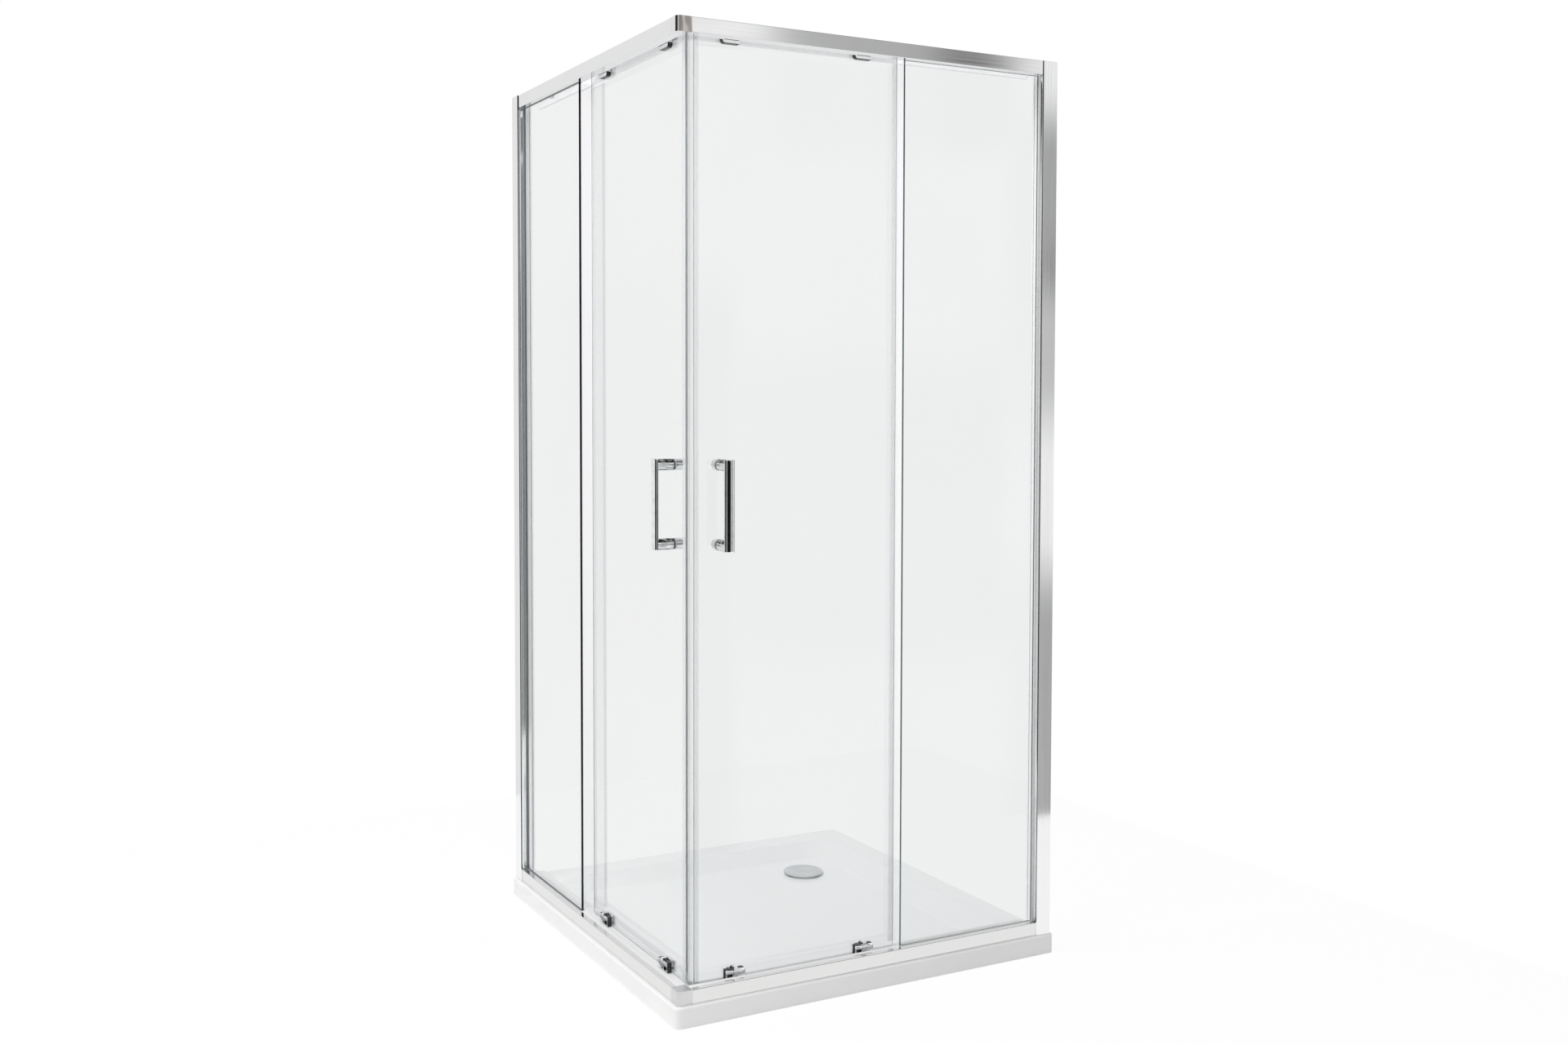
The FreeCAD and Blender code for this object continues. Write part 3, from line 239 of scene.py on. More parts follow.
# %% Dark boards round the set
MEASURES = ("Centre", "Half Width", "Soft Side", "Foot", "Head", "Soft End")
board_group, given, result = new_group(
    "dark_board",
    {label: (FLOAT, 0.0) for label in ("Azimuth", "Elevation", *MEASURES)},
    ("Board",),
)
turn = math_node(board_group, "SUBTRACT", given["Azimuth"], given["Centre"])
turn = math_node(board_group, "WRAP", turn, math.pi, -math.pi)
turn = math_node(board_group, "ABSOLUTE", turn)
outer = math_node(board_group, "ADD", given["Half Width"], given["Soft Side"])
across = ramp_value(board_group, turn, given["Half Width"], outer, 1.0, 0.0)
lower = math_node(board_group, "SUBTRACT", given["Foot"], given["Soft End"])
above_foot = ramp_value(board_group, given["Elevation"], lower, given["Foot"])
upper = math_node(board_group, "ADD", given["Head"], given["Soft End"])
below_head = ramp_value(board_group, given["Elevation"], given["Head"], upper, 1.0, 0.0)
upright = fold(board_group, "MULTIPLY", above_foot, below_head)
feed(board_group, fold(board_group, "MULTIPLY", across, upright), result["Board"])

# Each board: its measures in degrees, the azimuth of its middle first, and its darkness.
BOARDS = (
    (33.6, 3.2, 1.8, 10, 40, 2, 0.52),
    (36.9, 0.5, 1.6, 10, 40, 2, 0.62),
    (41.0, 2.2, 1.4, 5, 9.0, 2.2, 0.61),
    (41.0, 2.2, 1.4, 0.8, 3.5, 3, 0.42),
    (41.0, 2.2, 1.4, -15.4, -8, 3.0, 0.58),
    (19.0, 5.0, 2.0, -4, 30, 8, 0.93),
    (12.0, 15.4, 1.2, -17, 2, 4, 0.97),
    (33.0, 4.4, 1.0, -8, 0, 3, 0.55),
    (-28.0, 17.0, 6.0, -12, 4, 4, 0.86),
    (-80.0, 26.0, 5.0, -14, 5, 4, 0.96),
    (-104.0, 40.0, 4.0, 10, 40, 3, 0.97),
    (-24.0, 8.0, 5.0, 10, 40, 3, 0.7),
    (92.0, 26.0, 12.0, -16, 20, 6, 0.6),
    (150.0, 7.0, 4.0, -8, 2, 4, 0.8),
    (50.0, 40.0, 10.0, 36, 74, 8, 0.9),
    (-153.0, 36.0, 12.0, -24, 30, 8, 0.11),
    (-50.0, 26.0, 16.0, 3, 11.5, 2.5, 0.8),
)
MIRROR_LEVEL = 0.95

world = bpy.data.worlds.new("white_studio")
scene.world = world
world.use_nodes = True
sky = world.node_tree
sky.nodes.clear()
direction = split_vector(sky, add_node(sky, "ShaderNodeTexCoord").outputs["Generated"])
toward_front = math_node(sky, "MULTIPLY", direction["Y"], -1.0)
azimuth = math_node(sky, "ARCTAN2", direction["X"], toward_front)
elevation = math_node(sky, "ARCSINE", direction["Z"])
open_share = MIRROR_LEVEL
for *angles, darkness in BOARDS:
    measures = dict(zip(MEASURES, map(math.radians, angles)))
    board = use_group(sky, board_group, Azimuth=azimuth, Elevation=elevation, **measures)["Board"]
    left_open = math_node(sky, "MULTIPLY_ADD", board, -darkness, 1.0)
    open_share = math_node(sky, "MULTIPLY", open_share, left_open)
print("studio with", len(BOARDS), "dark boards")

# %% [markdown]
# A ray that comes straight from the eye, through glass or off clear glass finds plain white. A
# ray off metal finds the boards, also where it passes a pane on its way. All other rays carry the
# room's light, with the floor's bounce below the horizon.

# %% World
WHITE_STUDIO = (1.0, 1.0, 1.0, 1.0)
ROOM_LEVEL = 0.47
FLOOR_LEVEL = 0.98
NO_BOUNCE = 0.5  # bounces are counted whole, so a half parts none from one


def backdrop(strength):
    node = add_node(sky, "ShaderNodeBackground")
    node.inputs["Color"].default_value = WHITE_STUDIO
    feed(sky, strength, node.inputs["Strength"])
    return node.outputs[0]


rays = add_node(sky, "ShaderNodeLightPath").outputs
first_look = math_node(sky, "LESS_THAN", rays["Diffuse Depth"], NO_BOUNCE)
through = rays["Is Transmission Ray"]
off_clear = rays["Is Singular Ray"]
straight = fold(sky, "MAXIMUM", rays["Is Camera Ray"], through, off_clear)
straight = fold(sky, "MULTIPLY", straight, first_look)
off_metal = fold(sky, "MULTIPLY", rays["Is Glossy Ray"], rays["Is Reflection Ray"])
off_metal = fold(sky, "MULTIPLY", off_metal, outside(sky, off_clear))
was_mirrored = math_node(sky, "GREATER_THAN", rays["Glossy Depth"], NO_BOUNCE)
mirrored = fold(sky, "MAXIMUM", off_metal, fold(sky, "MULTIPLY", through, was_mirrored))
mirrored = fold(sky, "MULTIPLY", mirrored, first_look)
below = math_node(sky, "LESS_THAN", direction["Z"], 0.0)
room_level = math_node(sky, "MULTIPLY_ADD", below, FLOOR_LEVEL - ROOM_LEVEL, ROOM_LEVEL)
seen_or_lit = mix_shader(sky, straight, backdrop(room_level), backdrop(1.0))
with_mirror = mix_shader(sky, mirrored, seen_or_lit, backdrop(open_share))
feed(sky, with_mirror, add_node(sky, "ShaderNodeOutputWorld").inputs["Surface"])
print("world: room", ROOM_LEVEL, "and mirror", MIRROR_LEVEL)

# %% [markdown]
# The floor is a small sheet of white paper. Most of what the eye sees of it is plain white, and
# the rest is paint that takes the object's soft shadow. It ends close to the object, so that
# metal sees past it.

# %% Floor
FLOOR_SIZE = 2.6
FLOOR_WHITE = 0.95
PAPER = (0.94, 0.94, 0.94, 1)

bpy.ops.mesh.primitive_plane_add(size=FLOOR_SIZE, location=(0, 0, 0))
floor = bpy.context.object
floor.name = "studio_floor"
floor_material = bpy.data.materials.new("studio_floor_white")
floor_material.use_nodes = True
tree = floor_material.node_tree
tree.nodes.clear()
rays = add_node(tree, "ShaderNodeLightPath").outputs
to_eye = fold(
    tree, "MAXIMUM", rays["Is Camera Ray"], rays["Is Glossy Ray"], rays["Is Transmission Ray"]
)
first_look = math_node(tree, "LESS_THAN", rays["Diffuse Depth"], NO_BOUNCE)
to_eye = fold(tree, "MULTIPLY", to_eye, first_look, FLOOR_WHITE)
paint = add_node(tree, "ShaderNodeBsdfDiffuse")
paint.inputs["Color"].default_value = PAPER
white = add_node(tree, "ShaderNodeEmission")
paper = mix_shader(tree, to_eye, paint.outputs[0], white.outputs[0])
feed(tree, paper, add_node(tree, "ShaderNodeOutputMaterial").inputs["Surface"])
floor.data.materials.append(floor_material)
print("floor", FLOOR_SIZE, "m square")

# %% [markdown]
# One large soft lamp hangs high on the left. It lights the tray's floor and its left side, and
# leaves the right side in shade, as in the photograph. Mirrors don't see the lamp, only the
# boards.

# %% Key lamp
KEY_PLACE = (-1.9, -0.4, 4.0)
KEY_SIZE = 2.4
KEY_POWER = 122
KEY_TARGET = (0, 0, 0.3)

bpy.ops.object.light_add(type="AREA", location=KEY_PLACE)
key = bpy.context.object
key.name = "key_softbox"
key.data.size = KEY_SIZE
key.data.energy = KEY_POWER
key.visible_camera = False
key.visible_glossy = False
key.visible_transmission = False
away_x, away_y, away_z = (key.location[axis] - KEY_TARGET[axis] for axis in range(3))
tilt = math.atan2(math.hypot(away_x, away_y), away_z)
key.rotation_euler = (tilt, 0, math.atan2(away_x, -away_y))
print("key lamp", KEY_POWER, "W")

# %% [markdown]
# ## Effects that several finishes share
# Extruded metal carries hairlines along its length, everything in a shower room carries faint
# smudges and dried drops, and moulded or cast surfaces are never quite flat. Three more groups
# tell faces apart by where they are and which way they look: the outward faces of a piece, the
# inside of a rail, and the two narrow faces of a wall profile. Each of these is one node group,
# so that it can be placed in any finish with values of its own.

# %% Shared effects
MIDDLE_HEIGHT = 1.0
RAIL_POLISH_ENDS = -0.4300
RAIL_BACK = -0.3840
PROFILE_STEP = -0.4412
RAIL_HEAD = 0.0700
FIXED_PANE_BACK = -0.4225
HAIR_DETAIL, BLOT_DETAIL, RIPPLE_DETAIL = 3.0, 4.0, 1.0
BLOT_SOFTNESS = 0.25
OUTWARD_TURN = (0.55, 0.8)
LEVEL_TURN = 0.5
BACK_TURN = -0.6
PLACE_AND_NORMAL = {"Place": (VECTOR, None), "Normal": (VECTOR, None)}


def noise(group, vector, scale, detail):
    node = add_node(group, "ShaderNodeTexNoise")
    for name, value in (("Vector", vector), ("Scale", scale), ("Detail", detail)):
        feed(group, value, node.inputs[name])
    return node.outputs["Fac"]


def by_side(group, place, for_right, for_left):
    """One value on the right side's pieces and one on the left's, which X = Y divides."""
    on_right = math_node(group, "GREATER_THAN", place["X"], place["Y"])
    right_share = math_node(group, "MULTIPLY", for_right, on_right)
    return math_node(group, "MULTIPLY_ADD", for_left, outside(group, on_right), right_share)


lines_group, given, result = new_group(
    "extrusion_lines", {"Place": (VECTOR, None), "Stretch": (VECTOR, None)}, ("Lines",)
)
stretched = add_node(lines_group, "ShaderNodeVectorMath", operation="MULTIPLY")
feed(lines_group, given["Place"], stretched.inputs[0])
feed(lines_group, given["Stretch"], stretched.inputs[1])
feed(lines_group, noise(lines_group, stretched.outputs[0], 1.0, HAIR_DETAIL), result["Lines"])

marks_group, given, result = new_group(
    "water_marks",
    {"Place": (VECTOR, None), "Scale": (FLOAT, 20.0), "Sparse": (FLOAT, 0.5)},
    ("Marks",),
)
blots = noise(marks_group, given["Place"], given["Scale"], BLOT_DETAIL)
dense = math_node(marks_group, "ADD", given["Sparse"], BLOT_SOFTNESS)
feed(marks_group, ramp_value(marks_group, blots, given["Sparse"], dense), result["Marks"])

ripple_group, given, result = new_group(
    "soft_ripple", {"Place": (VECTOR, None), "Scale": (FLOAT, 100.0)}, ("Height",)
)
ripple = noise(ripple_group, given["Place"], given["Scale"], RIPPLE_DETAIL)
feed(ripple_group, ripple, result["Height"])

outward_group, given, result = new_group("outward_face", PLACE_AND_NORMAL, ("Outward",))
place = split_vector(outward_group, given["Place"])
facing = split_vector(outward_group, given["Normal"])
turned = by_side(outward_group, place, facing["Y"], facing["X"])
turned = math_node(outward_group, "ABSOLUTE", turned)
feed(outward_group, ramp_value(outward_group, turned, *OUTWARD_TURN), result["Outward"])

inside_group, given, result = new_group(
    "rail_inside", {**PLACE_AND_NORMAL, "Depth": (FLOAT, 0.0)}, ("Inside", "Painted Glow")
)
place = split_vector(inside_group, given["Place"])
facing = split_vector(inside_group, given["Normal"])
behind = math_node(inside_group, "GREATER_THAN", given["Depth"], RAIL_POLISH_ENDS)
not_under = math_node(inside_group, "GREATER_THAN", facing["Z"], -LEVEL_TURN)
inside = fold(inside_group, "MULTIPLY", behind, not_under)
feed(inside_group, inside, result["Inside"])
# Painted light: the glow mask marks the matt faces inside the top rail's slot, which stand in
# shade.
enclosed = math_node(inside_group, "LESS_THAN", given["Depth"], RAIL_BACK)
not_on_top = math_node(inside_group, "LESS_THAN", facing["Z"], LEVEL_TURN)
overhead = math_node(inside_group, "GREATER_THAN", place["Z"], MIDDLE_HEIGHT)
painted_glow = fold(inside_group, "MULTIPLY", inside, enclosed, not_on_top, overhead)
feed(inside_group, painted_glow, result["Painted Glow"])

jamb_group, given, result = new_group("jamb_faces", PLACE_AND_NORMAL, ("Edge", "Behind"))
place = split_vector(jamb_group, given["Place"])
facing = split_vector(jamb_group, given["Normal"])
toward_corner = by_side(jamb_group, place, facing["X"], facing["Y"])
looks_back = math_node(jamb_group, "LESS_THAN", toward_corner, BACK_TURN)
depth = math_node(jamb_group, "MINIMUM", place["X"], place["Y"])
proud = math_node(jamb_group, "LESS_THAN", depth, PROFILE_STEP)
above_rail = math_node(jamb_group, "GREATER_THAN", place["Z"], RAIL_HEAD)
# Painted shadow: the proud profile's faces that look back toward the corner above the rail.
feed(jamb_group, fold(jamb_group, "MULTIPLY", looks_back, proud, above_rail), result["Edge"])
past_glass = math_node(jamb_group, "GREATER_THAN", depth, FIXED_PANE_BACK)
feed(jamb_group, fold(jamb_group, "MULTIPLY", looks_back, past_glass), result["Behind"])
print("effects: extrusion_lines, water_marks, soft_ripple, outward_face, rail_inside, jamb_faces")

# %% [markdown]
# ## White acrylic
# The tray is a sheet of sanitary acrylic drawn over a mould: bright, glossy, a touch cool, with a
# skin of fine orange peel. Diffuse white with a gloss layer is enough. The peel goes into the
# bump, and the dried water mostly into the roughness, so that the colour stays clean. The floor of
# the basin carries painted light: a faint glow that stands in for the light that the white walls
# of a room would throw on it.

# %% White acrylic
ACRYLIC = (0.922, 0.920, 0.917, 1)
ACRYLIC_DRIED = (0.914, 0.913, 0.911, 1)
BASIN_STARTS = -0.375
BASIN_FADE = 0.01
BASIN_TURN = (0.3, 0.9)
# Painted light: a faint glow on the floor of the basin, in place of light from a room's walls.
BASIN_PAINTED_LIGHT = (0.085, 0.095, 0.102, 1)

acrylic, tree, shader, place = new_finish("white_acrylic", IOR=1.49, Emission_Strength=1.0)
marks = use_group(tree, marks_group, Place=place, Scale=9.0, Sparse=0.42)["Marks"]
tint(tree, shader, marks, ACRYLIC, ACRYLIC_DRIED)
roughen(tree, shader, marks, MASK, (0.2, 0.26))
split = split_vector(tree, place)
depth = math_node(tree, "MINIMUM", split["X"], split["Y"])
within = ramp_value(tree, depth, BASIN_STARTS - BASIN_FADE, BASIN_STARTS)
facing = split_vector(tree, surface_normal(tree))
basin = fold(tree, "MULTIPLY", within, ramp_value(tree, facing["Z"], *BASIN_TURN))
feed(tree, mix_colour(tree, basin, BLACK, BASIN_PAINTED_LIGHT), shader.inputs["Emission Color"])
peel = use_group(tree, ripple_group, Place=place, Scale=420.0)["Height"]
raise_bump(tree, shader, peel, strength=0.05, distance=0.0004)
print("white acrylic")

# %% [markdown]
# ## Polished aluminium
# Rails and wall profiles are extruded, polished and anodised. They mirror the studio, blurred a
# little along their length by the die's hairlines. The same recipe serves three directions, with
# the pattern stretched along X, Y or Z. Only what shows is polished: behind its front wall a rail
# keeps the matt grey of the anodising bath, and there the finish turns from mirror to a plain
# pale surface. Under the top rail, and on a wall profile's matt faces behind the fixed pane, the
# finish carries painted light: a faint glow that stands in for the light that wanders about in the
# slot and in the shade there. The bottom rails carry painted shade: they are a shade greyer than
# the top rails. A wall profile's narrow faces that look back toward the corner above the rail are
# painted near black, a painted shadow that stands in for the gap beside the rail and the glass.

# %% Polished aluminium
ALONG_X = (4.0, 700.0, 700.0)
ALONG_Y = (700.0, 4.0, 700.0)
ALONG_Z = (700.0, 700.0, 4.0)
POLISHED = (0.91, 0.91, 0.917, 1)
POLISHED_MARKED = (0.87, 0.872, 0.882, 1)
POLISHED_LINES = (0.88, 0.882, 0.892, 1)
# Painted shade: the bottom rails are given a greyer tone than the top rails.
LOW_RAIL_SHADE = (0.79, 0.79, 0.785, 1)
LOW_RAIL_SHADE_LINES = (0.76, 0.76, 0.757, 1)
MATT_INSIDE = (0.88, 0.88, 0.885, 1)
POLISHED_ROUGHNESS = (0.06, 0.1)
MATT_ROUGHER = 0.4
# Painted light: a faint glow on the matt faces inside the rails and behind the fixed panes.
PAINTED_GLOW_INSIDE = (0.36, 0.365, 0.365, 1)
# Painted shadow: near black on a wall profile's narrow faces beside the rail and the glass.
PAINTED_GAP_SHADOW = (0.012, 0.013, 0.013, 1)


def polished_aluminium(name, stretch, inward=None):
    """Inward names the axis from a rail's front to its matt inside. A jamb has none."""
    material, tree, shader, place = new_finish(name, Emission_Strength=1.0)
    normal = surface_normal(tree)
    lines = use_group(tree, lines_group, Place=place, Stretch=stretch)["Lines"]
    marks = use_group(tree, marks_group, Place=place, Scale=14.0, Sparse=0.45)["Marks"]
    tone = mix_colour(tree, marks, POLISHED, POLISHED_MARKED)
    tone = mix_colour(tree, lines, tone, POLISHED_LINES)
    if inward:
        split = split_vector(tree, place)
        masks = use_group(tree, inside_group, Place=place, Normal=normal, Depth=split[inward])
        low_rail = math_node(tree, "LESS_THAN", split["Z"], MIDDLE_HEIGHT)
        low_shaded_tone = mix_colour(tree, lines, LOW_RAIL_SHADE, LOW_RAIL_SHADE_LINES)
        tone = mix_colour(tree, low_rail, tone, low_shaded_tone)
        matt, painted_glow = masks["Inside"], masks["Painted Glow"]
        tint(tree, shader, matt, tone, MATT_INSIDE)
    else:
        masks = use_group(tree, jamb_group, Place=place, Normal=normal)
        tone = mix_colour(tree, masks["Behind"], tone, MATT_INSIDE)
        tint(tree, shader, masks["Edge"], tone, PAINTED_GAP_SHADOW)
        matt = fold(tree, "MAXIMUM", masks["Behind"], masks["Edge"])
        # The faces behind the fixed pane carry the same painted light, a faint glow.
        painted_glow = masks["Behind"]
    roughness = ramp_value(tree, lines, *NOISE, *POLISHED_ROUGHNESS)
    roughness = math_node(tree, "MULTIPLY_ADD", matt, MATT_ROUGHER, roughness)
    feed(tree, roughness, shader.inputs["Roughness"])
    feed(tree, outside(tree, matt), shader.inputs["Metallic"])
    feed(tree, mix_colour(tree, painted_glow, BLACK, PAINTED_GLOW_INSIDE), shader.inputs["Emission Color"])
    raise_bump(tree, shader, lines, strength=0.02, distance=0.0003)
    return material


rail_finish = {
    "right": polished_aluminium("polished_aluminium_x", ALONG_X, "Y"),
    "left": polished_aluminium("polished_aluminium_y", ALONG_Y, "X"),
}
profile_finish = polished_aluminium("polished_aluminium_z", ALONG_Z)
print("polished aluminium in three directions")

# %% [markdown]
# ## Finishes of two tones
# Most of the other finishes are made alike: one pattern mixes two tones and lets the roughness
# follow, and some have a bump of the same pattern. The lower corner joint is a satin casting: it
# spreads the light, so it looks plain grey. The fronts of guides and roller caps are bright
# chrome, the drain cover is duller, and the springs are steel.

# %% Finishes of two tones
FINE_BUMP = 0.0002


def two_tone(name, first, second, roughness, group, span, metallic, bump=None, **pattern):
    """Roughness is a pair, bump the strength of a fine one, and pattern what the group asks."""
    material, tree, shader, place = new_finish(name, Metallic=metallic)
    mask = use_group(tree, group, Place=place, **pattern)[0]
    tint(tree, shader, mask, first, second)
    roughen(tree, shader, mask, span, roughness)
    if bump:
        raise_bump(tree, shader, mask, bump, FINE_BUMP)
    return material


def drawn(name, first, second, roughness, metallic=1.0):
    """Two tones in hairlines that run upright."""
    return two_tone(
        name, first, second, roughness, lines_group, NOISE, metallic, Stretch=ALONG_Z
    )


def spotted(name, first, second, roughness, scale, sparse, metallic=1.0, bump=None):
    """Two tones in water marks."""
    marks = {"Scale": scale, "Sparse": sparse}
    return two_tone(name, first, second, roughness, marks_group, MASK, metallic, bump, **marks)


satin = two_tone(
    "satin_aluminium",
    (0.70, 0.70, 0.705, 1),
    (0.78, 0.78, 0.79, 1),
    (0.34, 0.48),
    ripple_group,
    NOISE,
    metallic=1.0,
    bump=0.12,
    Scale=900.0,
)
chrome = spotted(
    "chrome", (0.89, 0.895, 0.905, 1), (0.82, 0.825, 0.84, 1), (0.03, 0.08), 60.0, 0.5
)
drain_metal = spotted(
    "drain_metal", (0.60, 0.62, 0.64, 1), (0.70, 0.72, 0.735, 1), (0.3, 0.4), 45.0, 0.4, 0.35
)
steel = drawn("steel", (0.58, 0.58, 0.59, 1), (0.68, 0.68, 0.69, 1), (0.15, 0.3))
print("satin, chrome, drain metal and steel")

# %% [markdown]
# ## Dark chrome and handle chrome
# The upper corner joint's front is a darker, brownish chrome, and its mirror is mottled. The
# handles are bright, and their posts carry painted reflections: dark strokes along their upper and
# lower sides, broken by a few patches, that stand in for the room's dark ends mirrored there.

# %% Dark chrome and handle chrome
SMOKED = (0.56, 0.52, 0.49, 1)
SMOKED_DEEP = (0.40, 0.37, 0.35, 1)
BRIGHT_SIDE = (0.86, 0.86, 0.865, 1)
MOTTLE_STRETCH = (95.0, 95.0, 14.0)
MOTTLE_SPAN = (0.4, 0.6)
FRONT_TURN = (0.7, 0.95)
BAR_ENDS = -0.4340
UPPER_STROKE = (0.28, 0.5)
LOWER_STROKE = (-0.85, -0.7)
PATCH_STROKE = 0.45
HANDLE_TONE = (0.93, 0.935, 0.94, 1)
HANDLE_PATCH = (0.80, 0.825, 0.825, 1)
# Painted reflection: the dark strokes on the upper and lower sides of the posts.
HANDLE_PAINTED_REFLECTION = (0.012, 0.014, 0.014, 1)

dark_chrome, tree, shader, place = new_finish("dark_chrome", Metallic=1.0)
mottle = use_group(tree, lines_group, Place=place, Stretch=MOTTLE_STRETCH)["Lines"]
mottle = ramp_value(tree, mottle, *MOTTLE_SPAN)
facing = split_vector(tree, surface_normal(tree))
to_front = math_node(tree, "MULTIPLY", facing["Y"], -1.0)
to_front = ramp_value(tree, to_front, *FRONT_TURN)
tint(tree, shader, to_front, BRIGHT_SIDE, mix_colour(tree, mottle, SMOKED, SMOKED_DEEP))
roughen(tree, shader, mottle, MASK, (0.05, 0.12))

handle_chrome, tree, shader, place = new_finish("handle_chrome", Metallic=1.0)
split = split_vector(tree, place)
depth = math_node(tree, "MINIMUM", split["X"], split["Y"])
on_post = math_node(tree, "GREATER_THAN", depth, BAR_ENDS)
facing = split_vector(tree, surface_normal(tree))
upper = ramp_value(tree, facing["Z"], *UPPER_STROKE)
lower = ramp_value(tree, facing["Z"], *LOWER_STROKE, 1.0, 0.0)
patches = use_group(tree, marks_group, Place=place, Scale=90.0, Sparse=0.42)["Marks"]
broken = ramp_value(tree, patches, *MASK, 1.0, PATCH_STROKE)
# Painted reflection: dark on the posts' upper and lower sides, broken by patches.
painted_reflection = fold(tree, "MULTIPLY", on_post, fold(tree, "MAXIMUM", upper, lower), broken)
tone = mix_colour(tree, patches, HANDLE_TONE, HANDLE_PATCH)
tint(tree, shader, painted_reflection, tone, HANDLE_PAINTED_REFLECTION)
roughen(tree, shader, patches, MASK, (0.03, 0.07))
print("dark chrome and handle chrome")

# %% [markdown]
# ## Glass
# Toughened float glass is nearly clear: one pane takes a few percent of the light. Its ground and
# polished edge is another matter, because there the eye looks along the sheet, deep into green. So
# a fixed pane has clear glass on its faces and a dark green mirror on its free edge, partly the
# glass's own green and partly painted shade, near black on the left pane and greyer on the right.
# Edges that stand in a channel or carry a seal are pale. Lamps shine through the clear glass.

# %% Glass
GLASS = (0.868, 0.874, 0.874, 1)
GLASS_HAZE = (0.862, 0.868, 0.868, 1)
SHADOW_TINT = (0.992, 0.996, 0.997, 1)
EDGE_ROUGHNESS = (0.08, 0.2)

clear, tree, shader, place = new_finish(
    "clear_glass", Roughness=0.0, Transmission_Weight=1.0, IOR=1.5
)
haze = use_group(tree, marks_group, Place=place, Scale=3.0, Sparse=0.4)["Marks"]
tint(tree, shader, haze, GLASS, GLASS_HAZE)
see_through = add_node(tree, "ShaderNodeBsdfTransparent")
see_through.inputs["Color"].default_value = SHADOW_TINT
shadow_ray = add_node(tree, "ShaderNodeLightPath").outputs["Is Shadow Ray"]
lets_light = mix_shader(tree, shadow_ray, shader.outputs[0], see_through.outputs[0])
feed(tree, lets_light, tree.nodes["Material Output"].inputs["Surface"])

# Painted shade: the free edges are dark green metal, the left one near black.
edge_shade_finish = {
    "right": drawn(
        "glass_edge_right_shaded", (0.13, 0.19, 0.17, 1), (0.21, 0.27, 0.245, 1), EDGE_ROUGHNESS
    ),
    "left": drawn(
        "glass_edge_left_shaded", (0.02, 0.032, 0.028, 1), (0.045, 0.06, 0.053, 1), EDGE_ROUGHNESS
    ),
}
pale_edge = drawn(
    "glass_edge_pale", (0.80, 0.84, 0.85, 1), (0.88, 0.91, 0.92, 1), (0.4, 0.4), metallic=0.0
)
print("clear glass and its edges")

# %% [markdown]
# ## Seals, rubber and plastics
# The corner seals and rear strips are clear soft plastic, milky where it is thick. Seen flat they
# nearly vanish, and the faces that run along a wall are painted grey, a painted shade that gives
# the fine upright lines at the corner. The waste gasket is black rubber, those of the fixed panes
# are soft, grey on the left and painted pale on the right, painted light on a gasket that stands
# in shade. The wheels are white nylon, and the small caps grey plastic. A handle's washer is dark
# outside the glass and pale inside it.

# %% Seals, rubber and plastics
LINES_COVER = 0.1
SPECK_SPARSE = 0.4
WASHER_SPLIT = -0.3975
WASHER_PALE = (0.74, 0.76, 0.77, 1)
WASHER_SPECK = (0.80, 0.82, 0.83, 1)
WASHER_DARK = (0.02, 0.021, 0.022, 1)
WASHER_GRAIN = 800.0


def clear_seal(name, flat_colour, wall_shade_colour, flat_cover, wall_cover):
    material, tree, shader, place = new_finish(name, Roughness=0.25)
    flat = use_group(tree, outward_group, Place=place, Normal=surface_normal(tree))["Outward"]
    lines = use_group(tree, lines_group, Place=place, Stretch=ALONG_Z)["Lines"]
    # Painted shade: faces that run along a wall get the greyer colour.
    tint(tree, shader, flat, wall_shade_colour, flat_colour)
    cover = ramp_value(tree, flat, *MASK, wall_cover, flat_cover)
    cover = math_node(tree, "MULTIPLY_ADD", lines, LINES_COVER, cover)
    feed(tree, cover, shader.inputs["Alpha"])
    return material


seal = clear_seal("clear_seal", (0.80, 0.83, 0.85, 1), (0.55, 0.59, 0.62, 1), 0.05, 0.22)
rear_strip = clear_seal("rear_strip", (0.80, 0.80, 0.84, 1), (0.80, 0.79, 0.86, 1), 0.06, 0.09)

# Each plastic: its two tones, the scale of its specks, its roughness and the strength of its bump.
SPECKLED = {
    "magnet": ((0.50, 0.515, 0.54, 1), (0.60, 0.615, 0.64, 1), 300.0, (0.4, 0.6), 0.1),
    "dark_rubber": ((0.018, 0.02, 0.022, 1), (0.035, 0.037, 0.04, 1), 800.0, (0.35, 0.6), 0.2),
    "gloss_black": ((0.008, 0.009, 0.009, 1), (0.014, 0.015, 0.016, 1), 600.0, (0.12, 0.3), 0.05),
    "cap_shell": ((0.82, 0.83, 0.83, 1), (0.88, 0.89, 0.89, 1), 500.0, (0.3, 0.5), 0.05),
    "white_nylon": ((0.80, 0.80, 0.78, 1), (0.86, 0.86, 0.84, 1), 500.0, (0.3, 0.45), 0.1),
    # Painted light: the right side's gasket stands in shade and is painted pale; the left keeps
    # the grey.
    "gasket_painted_pale": ((0.84, 0.88, 0.87, 1), (0.90, 0.93, 0.92, 1), 800.0, (0.35, 0.6), 0.2),
    "grey_gasket": ((0.24, 0.27, 0.285, 1), (0.30, 0.33, 0.345, 1), 800.0, (0.35, 0.6), 0.2),
    "grey_plastic": ((0.55, 0.56, 0.57, 1), (0.64, 0.65, 0.66, 1), 700.0, (0.3, 0.5), 0.15),
}
plastics = {}
for name, (first, second, scale, roughness, bump) in SPECKLED.items():
    plastics[name] = spotted(name, first, second, roughness, scale, SPECK_SPARSE, 0.0, bump)
gaskets = {"right": plastics["gasket_painted_pale"], "left": plastics["grey_gasket"]}

